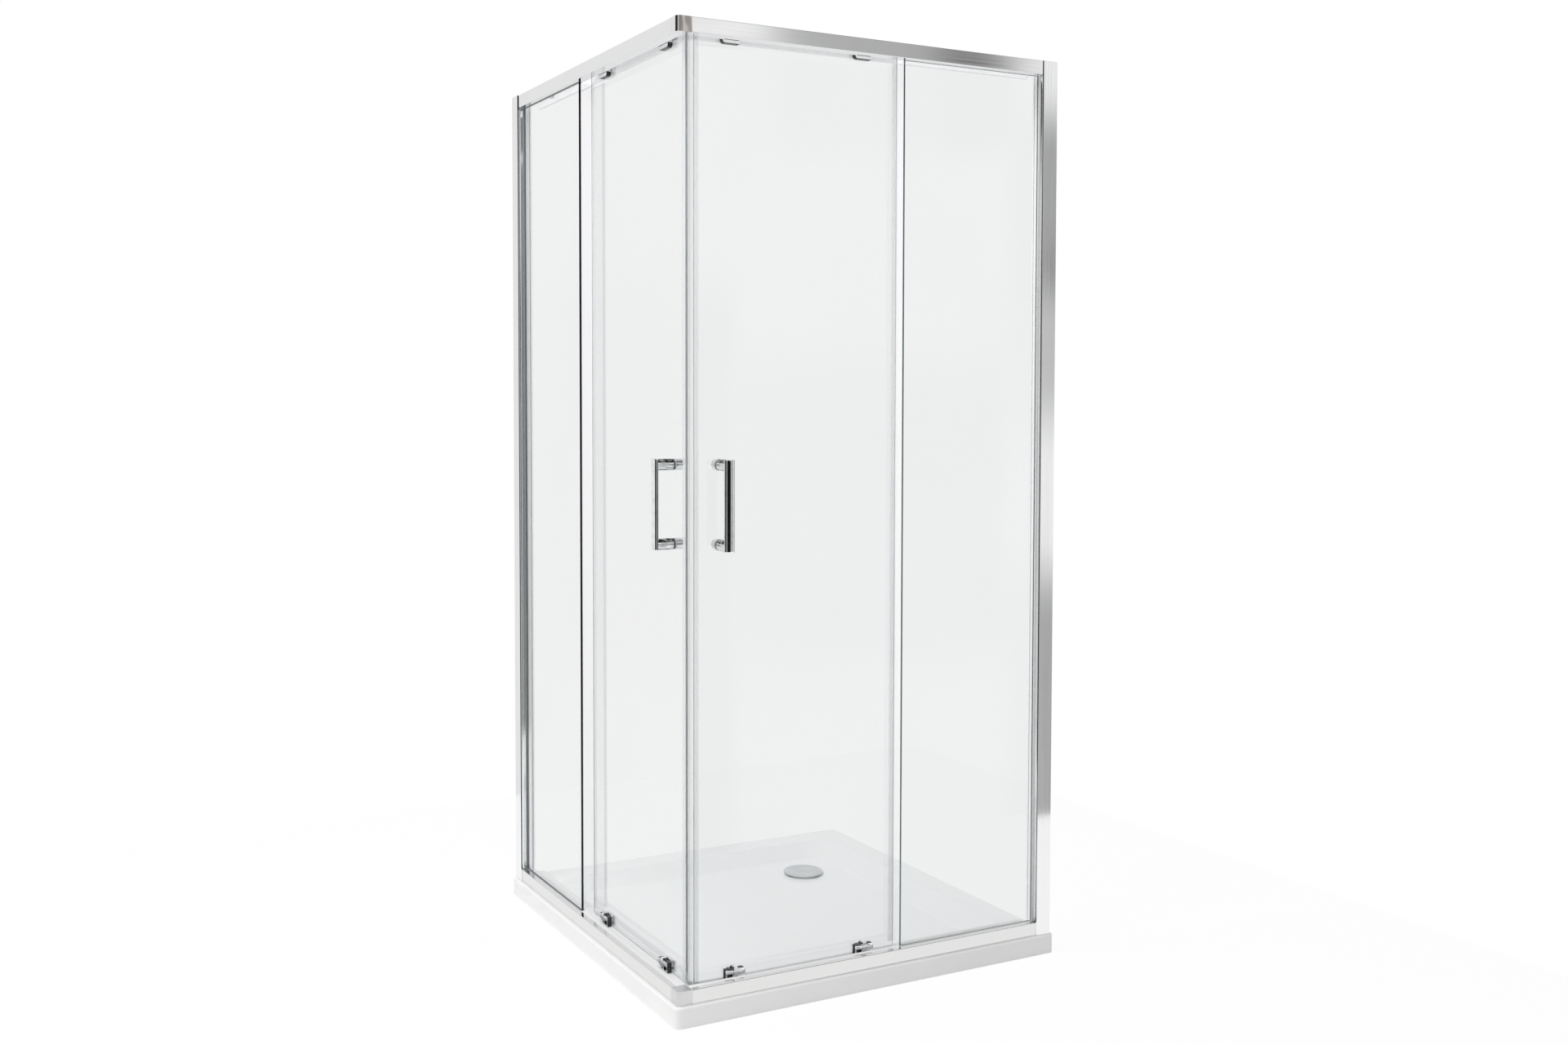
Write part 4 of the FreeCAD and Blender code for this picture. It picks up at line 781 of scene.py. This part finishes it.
washer, tree, shader, place = new_finish("handle_washer", Roughness=0.4)
split = split_vector(tree, place)
depth = math_node(tree, "MINIMUM", split["X"], split["Y"])
outer = math_node(tree, "LESS_THAN", depth, WASHER_SPLIT)
speck = use_group(tree, marks_group, Place=place, Scale=WASHER_GRAIN, Sparse=SPECK_SPARSE)["Marks"]
tint(tree, shader, outer, mix_colour(tree, speck, WASHER_PALE, WASHER_SPECK), WASHER_DARK)
print("seals, washers and", len(plastics), "plastics")

# %% [markdown]
# ## Finishes on the solids
# Each solid comes with the name of its finish. The rails, the upper corner joint, the drain
# cover, the rear strips, the panes' gaskets and the washers need a more particular one, so these
# are set by the solid's own name.

# %% Finishes on the solids
FINISHES = {
    "white_acrylic": acrylic,
    "polished_aluminium": profile_finish,
    "satin_aluminium": satin,
    "chrome": chrome,
    "clear_glass": clear,
    "clear_seal": seal,
    "steel": steel,
    **plastics,
}
BY_NAME = {"top_corner_joint": dark_chrome, "drain_cover": drain_metal}
for side in SIDES:
    for rail in ("top_rail_", "bottom_rail_", "channel_covers_"):
        BY_NAME[rail + side] = rail_finish[side]
    BY_NAME["rear_seal_" + side] = rear_strip
    BY_NAME["fixed_gasket_" + side] = gaskets[side]
    BY_NAME["handle_washers_" + side] = washer
for name, node in nodes.items():
    for slot in node.material_slots:
        slot.material = BY_NAME.get(name, FINISHES[slot.material.name.split(".")[0]])
print("finished", len(nodes), "solids,", len(BY_NAME), "of them by name")

# %% [markdown]
# ## Modelling by hand, in code
# A new piece starts as a primitive at its real place. Edges and faces are then chosen by where
# they are and which way they look, as a hand would click them, and shaped with Edit Mode's own
# tools. The left side's pieces are the right side's with X and Y exchanged: a mirror and a
# quarter turn.

# %% Modelling helpers
ROUND_SIDES = 64
SMOOTH_ANGLE = 32
ALONG = 0.9  # a direction lies along an axis
ACROSS = 0.1  # a direction lies across an axis
NEAR = 1e-5  # a place lies on a face


def settle(name):
    """Name the piece just made and put its place, turn and size in its mesh."""
    piece = bpy.context.object
    piece.name = name
    bpy.ops.object.transform_apply(location=True, rotation=True, scale=True)
    return piece


def start_box(name, low, high):
    """A cube primitive stretched to fill a box."""
    bpy.ops.object.select_all(action="DESELECT")
    middle = [(a + b) / 2 for a, b in zip(low, high)]
    size = [b - a for a, b in zip(low, high)]
    bpy.ops.mesh.primitive_cube_add(size=1, location=middle, scale=size)
    return settle(name)


def start_round(name, middle, radius, depth):
    """A cylinder primitive along Y."""
    bpy.ops.object.select_all(action="DESELECT")
    bpy.ops.mesh.primitive_cylinder_add(
        vertices=ROUND_SIDES,
        radius=radius,
        depth=depth,
        location=middle,
        rotation=(math.pi / 2, 0, 0),
    )
    return settle(name)


def select_only(piece):
    bpy.ops.object.select_all(action="DESELECT")
    piece.select_set(True)
    bpy.context.view_layer.objects.active = piece


def edit(on):
    bpy.ops.object.mode_set(mode="EDIT" if on else "OBJECT")


def choose_faces(piece, test):
    """In Edit Mode, select the faces whose middle and normal pass the test."""
    bpy.ops.mesh.select_mode(type="FACE")
    bpy.ops.mesh.select_all(action="DESELECT")
    mesh = bmesh.from_edit_mesh(piece.data)
    for face in mesh.faces:
        face.select_set(bool(test(face.calc_center_median(), face.normal)))
    bmesh.update_edit_mesh(piece.data)


def choose_edges(piece, test):
    """In Edit Mode, select the edges whose middle and direction pass the test."""
    bpy.ops.mesh.select_mode(type="EDGE")
    bpy.ops.mesh.select_all(action="DESELECT")
    mesh = bmesh.from_edit_mesh(piece.data)
    for edge in mesh.edges:
        first, second = (corner.co for corner in edge.verts)
        edge.select_set(bool(test((first + second) / 2, (second - first).normalized())))
    bmesh.update_edit_mesh(piece.data)


def round_edges(piece, test, size, steps):
    choose_edges(piece, test)
    bpy.ops.mesh.bevel(offset=size, segments=steps, affect="EDGES", profile=0.5)


def add_loop(point, normal):
    """In Edit Mode, add a loop of edges where a plane crosses the piece."""
    bpy.ops.mesh.select_all(action="SELECT")
    bpy.ops.mesh.bisect(plane_co=point, plane_no=normal)


def combine(base, others, operation):
    """Fuse pieces to the first one, or cut them out of it, with Boolean modifiers."""
    for other in others:
        step = base.modifiers.new("combine", "BOOLEAN")
        step.operation = operation
        step.object = other
        bpy.context.view_layer.objects.active = base
        bpy.ops.object.modifier_apply(modifier=step.name)
        bpy.data.objects.remove(other)


def dress(piece, material):
    """Give the whole piece one material, and drop any that the Boolean steps left."""
    piece.data.materials.clear()
    piece.data.materials.append(material)


def dress_faces(piece, material, test):
    """Give the faces that pass the test a material of their own."""
    piece.data.materials.append(material)
    select_only(piece)
    edit(True)
    choose_faces(piece, test)
    piece.active_material_index = len(piece.data.materials) - 1
    bpy.ops.object.material_slot_assign()
    edit(False)


def smooth(piece):
    select_only(piece)
    bpy.ops.object.shade_smooth_by_angle(angle=math.radians(SMOOTH_ANGLE))


def copy_piece(piece, name, move):
    select_only(piece)
    bpy.ops.object.duplicate()
    bpy.context.object.location = move
    return settle(name)


def add_far_copy(piece, spacing):
    """Join a copy further along the door to the piece."""
    copy_piece(piece, "far_copy", (spacing, 0, 0))
    piece.select_set(True)
    bpy.context.view_layer.objects.active = piece
    bpy.ops.object.join()


def to_left_side(piece, name):
    """The left side's copy: mirrored, turned a quarter and made to face outwards again."""
    select_only(piece)
    bpy.ops.object.duplicate()
    twin = bpy.context.object
    twin.scale = (-1, 1, 1)
    twin.rotation_euler = (0, 0, -math.pi / 2)
    settle(name)
    edit(True)
    bpy.ops.mesh.select_all(action="SELECT")
    bpy.ops.mesh.normals_make_consistent(inside=False)
    edit(False)
    return twin


def finish_piece(piece, body, node):
    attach(piece, body)
    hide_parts(node)


def finish_pair(right, left_name, node):
    """Make the left side's copy, and put each on its door in the place of its node."""
    left = to_left_side(right, left_name)
    finish_piece(right, "door_right", node + "_right")
    finish_piece(left, "door_left", node + "_left")


print("modelling helpers ready")

# %% [markdown]
# ## Handles
# A handle is an upright chrome bar on two round posts. The bar's front is convex, so it shows the
# dark boards as narrow upright stripes, and that is what makes it read as chrome. A cube with two
# large bevels gives the front, smaller ones the back and the ends. A post is a cylinder with a
# groove pressed in near the glass.

# %% Handles
BAR_WIDTH = 0.022
BAR_DEPTH = 0.007
BAR_FRONT_ROUND, BAR_FRONT_STEPS = 0.0055, 12
BAR_BACK_ROUND, BAR_BACK_STEPS = 0.0012, 3
BAR_END_ROUND, BAR_END_STEPS = 0.0007, 2
BAR_LOOP = 0.002
BAR_CROWN = 0.0003
POST_RADIUS = 0.011
POST_GROOVE = 0.0012
GROOVE_SLOPE = POST_GROOVE / 6
GROOVE_FROM_GLASS = 0.003
GROOVE_DEEP = 0.0008

low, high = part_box("handle_right")
middle_x = (low[0] + high[0]) / 2
bar_back = low[1] + BAR_DEPTH
bar_middle = low[1] + BAR_DEPTH / 2


def on_front(at, along):
    return abs(along.z) > ALONG and at.y < bar_middle


def on_back(at, along):
    return abs(along.z) > ALONG and at.y > bar_back - NEAR


def on_ends(at, along):
    return abs(along.z) < ACROSS and (at.z < low[2] + NEAR or at.z > high[2] - NEAR)


handle = start_box(
    "handle_right_chrome",
    (middle_x - BAR_WIDTH / 2, low[1] + BAR_CROWN, low[2]),
    (middle_x + BAR_WIDTH / 2, bar_back, high[2]),
)
edit(True)
for height in (low[2] + BAR_LOOP, high[2] - BAR_LOOP):
    add_loop((middle_x, bar_middle, height), (0, 0, 1))
round_edges(handle, on_front, BAR_FRONT_ROUND, BAR_FRONT_STEPS)
round_edges(handle, on_back, BAR_BACK_ROUND, BAR_BACK_STEPS)
round_edges(handle, on_ends, BAR_END_ROUND, BAR_END_STEPS)
add_loop((middle_x, bar_middle, low[2]), (1, 0, 0))
choose_edges(handle, lambda at, along: on_front(at, along) and abs(at.x - middle_x) < NEAR)
bpy.ops.transform.translate(value=(0, -BAR_CROWN, 0))
edit(False)

post_front = bar_back - BAR_BACK_ROUND
post_depth = high[1] - post_front
groove_back = high[1] - GROOVE_FROM_GLASS
groove_front = groove_back - POST_GROOVE
posts = []
for height in (low[2] + POST_RADIUS, high[2] - POST_RADIUS):
    middle = (middle_x, post_front + post_depth / 2, height)
    post = start_round("post", middle, POST_RADIUS, post_depth)
    edit(True)
    for plane in (groove_front, groove_back):
        add_loop((middle_x, plane, height), (0, 1, 0))
    choose_faces(
        post, lambda at, normal: abs(normal.y) < ACROSS and groove_front < at.y < groove_back
    )
    bpy.ops.mesh.inset(thickness=GROOVE_SLOPE, depth=-GROOVE_DEEP, use_boundary=True)
    edit(False)
    posts.append(post)
combine(handle, posts, "UNION")
handle.data.materials.append(handle_chrome)
smooth(handle)
finish_pair(handle, "handle_left_chrome", "handle")
print("handles of", len(handle.data.polygons), "faces each")

# %% [markdown]
# ## Guides
# A guide is a black moulded block on the door's foot with a chromed front. It has a slot for the
# thumb slide, a drain notch beside it, and a sleeve that goes through the glass. The block is a
# cube with its far top corner rounded well and its front edges a little. The sleeve is fused on
# and the openings are cut out, as a mould's cores would leave them. The second guide is a copy
# further along the door.

# %% Guides
GUIDE_WIDTH = 0.044
GUIDE_DEPTH = 0.010
GUIDE_FAR_ROUND, GUIDE_FAR_STEPS = 0.005, 8
GUIDE_EDGE_ROUND, GUIDE_EDGE_STEPS = 0.0008, 2
GUIDE_SPACING = 0.296
GUIDE_FRONT_TURN = -0.6
GUIDE_FAR_TURN = 0.3
THUMB_SLOT = 0.0086
SLOT_BACK = 0.002
SLOT_FLOOR = 0.002
NOTCH_START = 0.0035
NOTCH_WIDTH = 0.012
NOTCH_DEPTH = 0.004
NOTCH_FLOOR = 0.002
NOTCH_HEIGHT = 0.008
SLEEVE_RADIUS = 0.0054
SLEEVE_HEIGHT = 0.0125
STEM_SLOT = 0.0056
STEM_FOOT = 0.0092
STEM_HEAD = 0.0158
OVERRUN = 0.002

low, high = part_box("guide_housings_right")
block_end = low[0] + GUIDE_WIDTH
block_back = low[1] + GUIDE_DEPTH
middle_x = low[0] + GUIDE_WIDTH / 2
slot_back = block_back - SLOT_BACK
notch_x = low[0] + NOTCH_START
notch_z = low[2] + NOTCH_FLOOR


def on_far_corner(at, along):
    return abs(along.y) > ALONG and at.x > block_end - NEAR and at.z > high[2] - NEAR


guide = start_box("guide_right", low, (block_end, block_back, high[2]))
edit(True)
round_edges(guide, on_far_corner, GUIDE_FAR_ROUND, GUIDE_FAR_STEPS)
round_edges(
    guide, lambda at, along: at.y < low[1] + NEAR, GUIDE_EDGE_ROUND, GUIDE_EDGE_STEPS
)
edit(False)
middle = (middle_x, (block_back + high[1]) / 2, low[2] + SLEEVE_HEIGHT)
sleeve = start_round("sleeve", middle, SLEEVE_RADIUS, high[1] - block_back)
combine(guide, [sleeve], "UNION")
thumb_slot = start_box(
    "thumb_slot",
    (middle_x - THUMB_SLOT / 2, low[1] - OVERRUN, low[2] + SLOT_FLOOR),
    (middle_x + THUMB_SLOT / 2, slot_back, high[2] + OVERRUN),
)
notch = start_box(
    "notch",
    (notch_x, low[1] - OVERRUN, notch_z),
    (notch_x + NOTCH_WIDTH, low[1] + NOTCH_DEPTH, notch_z + NOTCH_HEIGHT),
)
stem_slot = start_box(
    "stem_slot",
    (middle_x - STEM_SLOT / 2, slot_back - OVERRUN, low[2] + STEM_FOOT),
    (middle_x + STEM_SLOT / 2, high[1] + OVERRUN, low[2] + STEM_HEAD),
)
combine(guide, [thumb_slot, notch, stem_slot], "DIFFERENCE")
dress(guide, plastics["gloss_black"])
front_ends = low[1] + GUIDE_EDGE_ROUND
far_starts = middle_x + THUMB_SLOT
dress_faces(
    guide, chrome, lambda at, normal: normal.y < GUIDE_FRONT_TURN and at.y < front_ends
)
dress_faces(
    guide,
    plastics["grey_plastic"],
    lambda at, normal: normal.x > GUIDE_FAR_TURN and at.x > far_starts,
)
smooth(guide)
add_far_copy(guide, GUIDE_SPACING)
finish_pair(guide, "guide_left", "guide_housings")
print("guides of", len(guide.data.polygons), "faces on each side")

# %% [markdown]
# ## Return springs
# Under each thumb slide lies a bent steel leaf, which closes as the slide goes down and lifts it
# again. The cube's bend is rounded and a gap is cut in from the other end, which leaves two leaves
# and the bend between them. Each spring is given a mesh of its own.

# %% Return springs
SPRING_WIDTH = 0.0074
SPRING_LEAF = 0.0008
SPRING_BEND_ROUND, SPRING_BEND_STEPS = 0.0005, 4

low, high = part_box("guide_springs_right")


def on_bend(at, along):
    return abs(along.y) > ALONG and at.x < low[0] + NEAR


leaf = start_box("spring_right_near", low, (low[0] + SPRING_WIDTH, high[1], high[2]))
edit(True)
round_edges(leaf, on_bend, SPRING_BEND_ROUND, SPRING_BEND_STEPS)
edit(False)
gap = start_box(
    "gap",
    (low[0] + SPRING_LEAF, low[1] - OVERRUN, low[2] + SPRING_LEAF),
    (low[0] + SPRING_WIDTH + OVERRUN, high[1] + OVERRUN, high[2] - SPRING_LEAF),
)
combine(leaf, [gap], "DIFFERENCE")
dress(leaf, steel)
smooth(leaf)
far_leaf = copy_piece(leaf, "spring_right_far", (GUIDE_SPACING, 0, 0))
springs = {
    "right_near": leaf,
    "right_far": far_leaf,
    "left_near": to_left_side(leaf, "spring_left_near"),
    "left_far": to_left_side(far_leaf, "spring_left_far"),
}
for place_name, spring in springs.items():
    side = place_name.split("_")[0]
    finish_piece(spring, "door_" + side, "guide_springs_" + side)
    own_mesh(spring)
print("springs:", ", ".join(springs))

# %% [markdown]
# ## Roller caps
# A roller cap covers the door's wheel. Only its foot hangs below the rail: a long low lozenge
# with a black rim and a bright middle. The cube's two lower corners are rounded, the block is cut
# level above the lozenge, and the front face of the foot is inset for the rim and pushed in a
# little.

# %% Roller caps
CAP_WIDTH = 0.042
CAP_DEPTH = 0.010
CAP_CORNER, CAP_CORNER_STEPS = 0.0065, 8
CAP_SPACING = 0.296
CAP_FOOT_HEIGHT = 0.0095
CAP_RIM = 0.0013
CAP_INSET = 0.0004
CAP_FRONT_TURN = -0.99
BOSS_RADIUS = 0.0052
BOSS_HEIGHT = 0.0203
FAR_END_SHARE = 0.8

low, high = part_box("roller_caps_right")
cap_back = low[1] + CAP_DEPTH
middle_x = low[0] + CAP_WIDTH / 2
foot_head = low[2] + CAP_FOOT_HEIGHT
rim_front = low[1] + CAP_INSET / 2
far_starts = low[0] + CAP_WIDTH * FAR_END_SHARE


def on_lower_corners(at, along):
    return abs(along.y) > ALONG and at.z < low[2] + NEAR


def in_middle(at, normal):
    return normal.y < CAP_FRONT_TURN and at.y > rim_front and at.z < foot_head


cap = start_box("roller_cap_right", low, (low[0] + CAP_WIDTH, cap_back, high[2]))
edit(True)
round_edges(cap, on_lower_corners, CAP_CORNER, CAP_CORNER_STEPS)
add_loop((middle_x, cap_back, foot_head), (0, 0, 1))
choose_faces(cap, lambda at, normal: normal.y < -ALONG and at.z < foot_head)
bpy.ops.mesh.inset(thickness=CAP_RIM, depth=-CAP_INSET)
edit(False)
middle = (middle_x, (cap_back + high[1]) / 2, low[2] + BOSS_HEIGHT)
boss = start_round("boss", middle, BOSS_RADIUS, high[1] - cap_back)
combine(cap, [boss], "UNION")
dress(cap, plastics["gloss_black"])
dress_faces(cap, plastics["cap_shell"], lambda at, normal: at.z > foot_head)
dress_faces(cap, chrome, in_middle)
dress_faces(
    cap,
    plastics["grey_plastic"],
    lambda at, normal: at.x > far_starts and at.z < foot_head,
)
smooth(cap)
add_far_copy(cap, CAP_SPACING)
finish_pair(cap, "roller_cap_left", "roller_caps")
print("roller caps of", len(cap.data.polygons), "faces on each side")

# %% [markdown]
# ## Panes
# Each pane is a sheet of 5 mm glass with its arrises taken off. The cube is bevelled all round by
# half a millimetre, and the faces are then given their finishes: the broad ones are clear, the
# edges in a channel or under a seal are pale, and a fixed pane's free edge is the dark green of a
# polished edge, deepened by painted shade. A door is drilled before it is toughened, for its
# rollers, its guides and its handle, so its holes are cut with cylinders. The left door is the
# right one's copy.

# %% Panes with polished edges
ARRIS = 0.0005
FREE_EDGE_TURN = -0.3
ROLLER_HOLE = 0.0055
GUIDE_HOLE = 0.0058
HANDLE_HOLE = 0.0060


def edged_pane(node, name, across, edge):
    """A pane in a node's place. Across is the axis, 0 or 1, through the sheet, and edge the
    finish of its free end."""
    pane = start_box(name, *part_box(node))
    edit(True)
    bpy.ops.mesh.select_all(action="SELECT")
    bpy.ops.mesh.bevel(offset=ARRIS, segments=1, affect="EDGES")
    edit(False)
    pane.data.materials.append(clear)
    dress_faces(pane, pale_edge, lambda at, normal: abs(normal[across]) < ALONG)
    if edge:
        dress_faces(pane, edge, lambda at, normal: normal[1 - across] < FREE_EDGE_TURN)
    return pane


for side, across in (("right", 1), ("left", 0)):
    glass = "fixed_glass_" + side
    pane = edged_pane(glass, "fixed_pane_" + side, across, edge_shade_finish[side])
    finish_piece(pane, "frame", glass)

roller_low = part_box("roller_caps_right")[0]
guide_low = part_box("guide_housings_right")[0]
handle_low, handle_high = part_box("handle_right")
roller_x = roller_low[0] + CAP_WIDTH / 2
roller_z = roller_low[2] + BOSS_HEIGHT
guide_x = guide_low[0] + GUIDE_WIDTH / 2
guide_z = guide_low[2] + SLEEVE_HEIGHT
handle_x = (handle_low[0] + handle_high[0]) / 2
holes = (
    (roller_x, roller_z, ROLLER_HOLE),
    (roller_x + CAP_SPACING, roller_z, ROLLER_HOLE),
    (guide_x, guide_z, GUIDE_HOLE),
    (guide_x + GUIDE_SPACING, guide_z, GUIDE_HOLE),
    (handle_x, handle_low[2] + POST_RADIUS, HANDLE_HOLE),
    (handle_x, handle_high[2] - POST_RADIUS, HANDLE_HOLE),
)
low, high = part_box("door_glass_right")
middle_y = (low[1] + high[1]) / 2
drill_length = high[1] - low[1] + OVERRUN
door_pane = edged_pane("door_glass_right", "door_pane_right", 1, None)
drills = [start_round("drill", (x, middle_y, z), radius, drill_length) for x, z, radius in holes]
combine(door_pane, drills, "DIFFERENCE")
finish_pair(door_pane, "door_pane_left", "door_glass")
print("four panes with polished edges,", len(holes), "holes in each door")
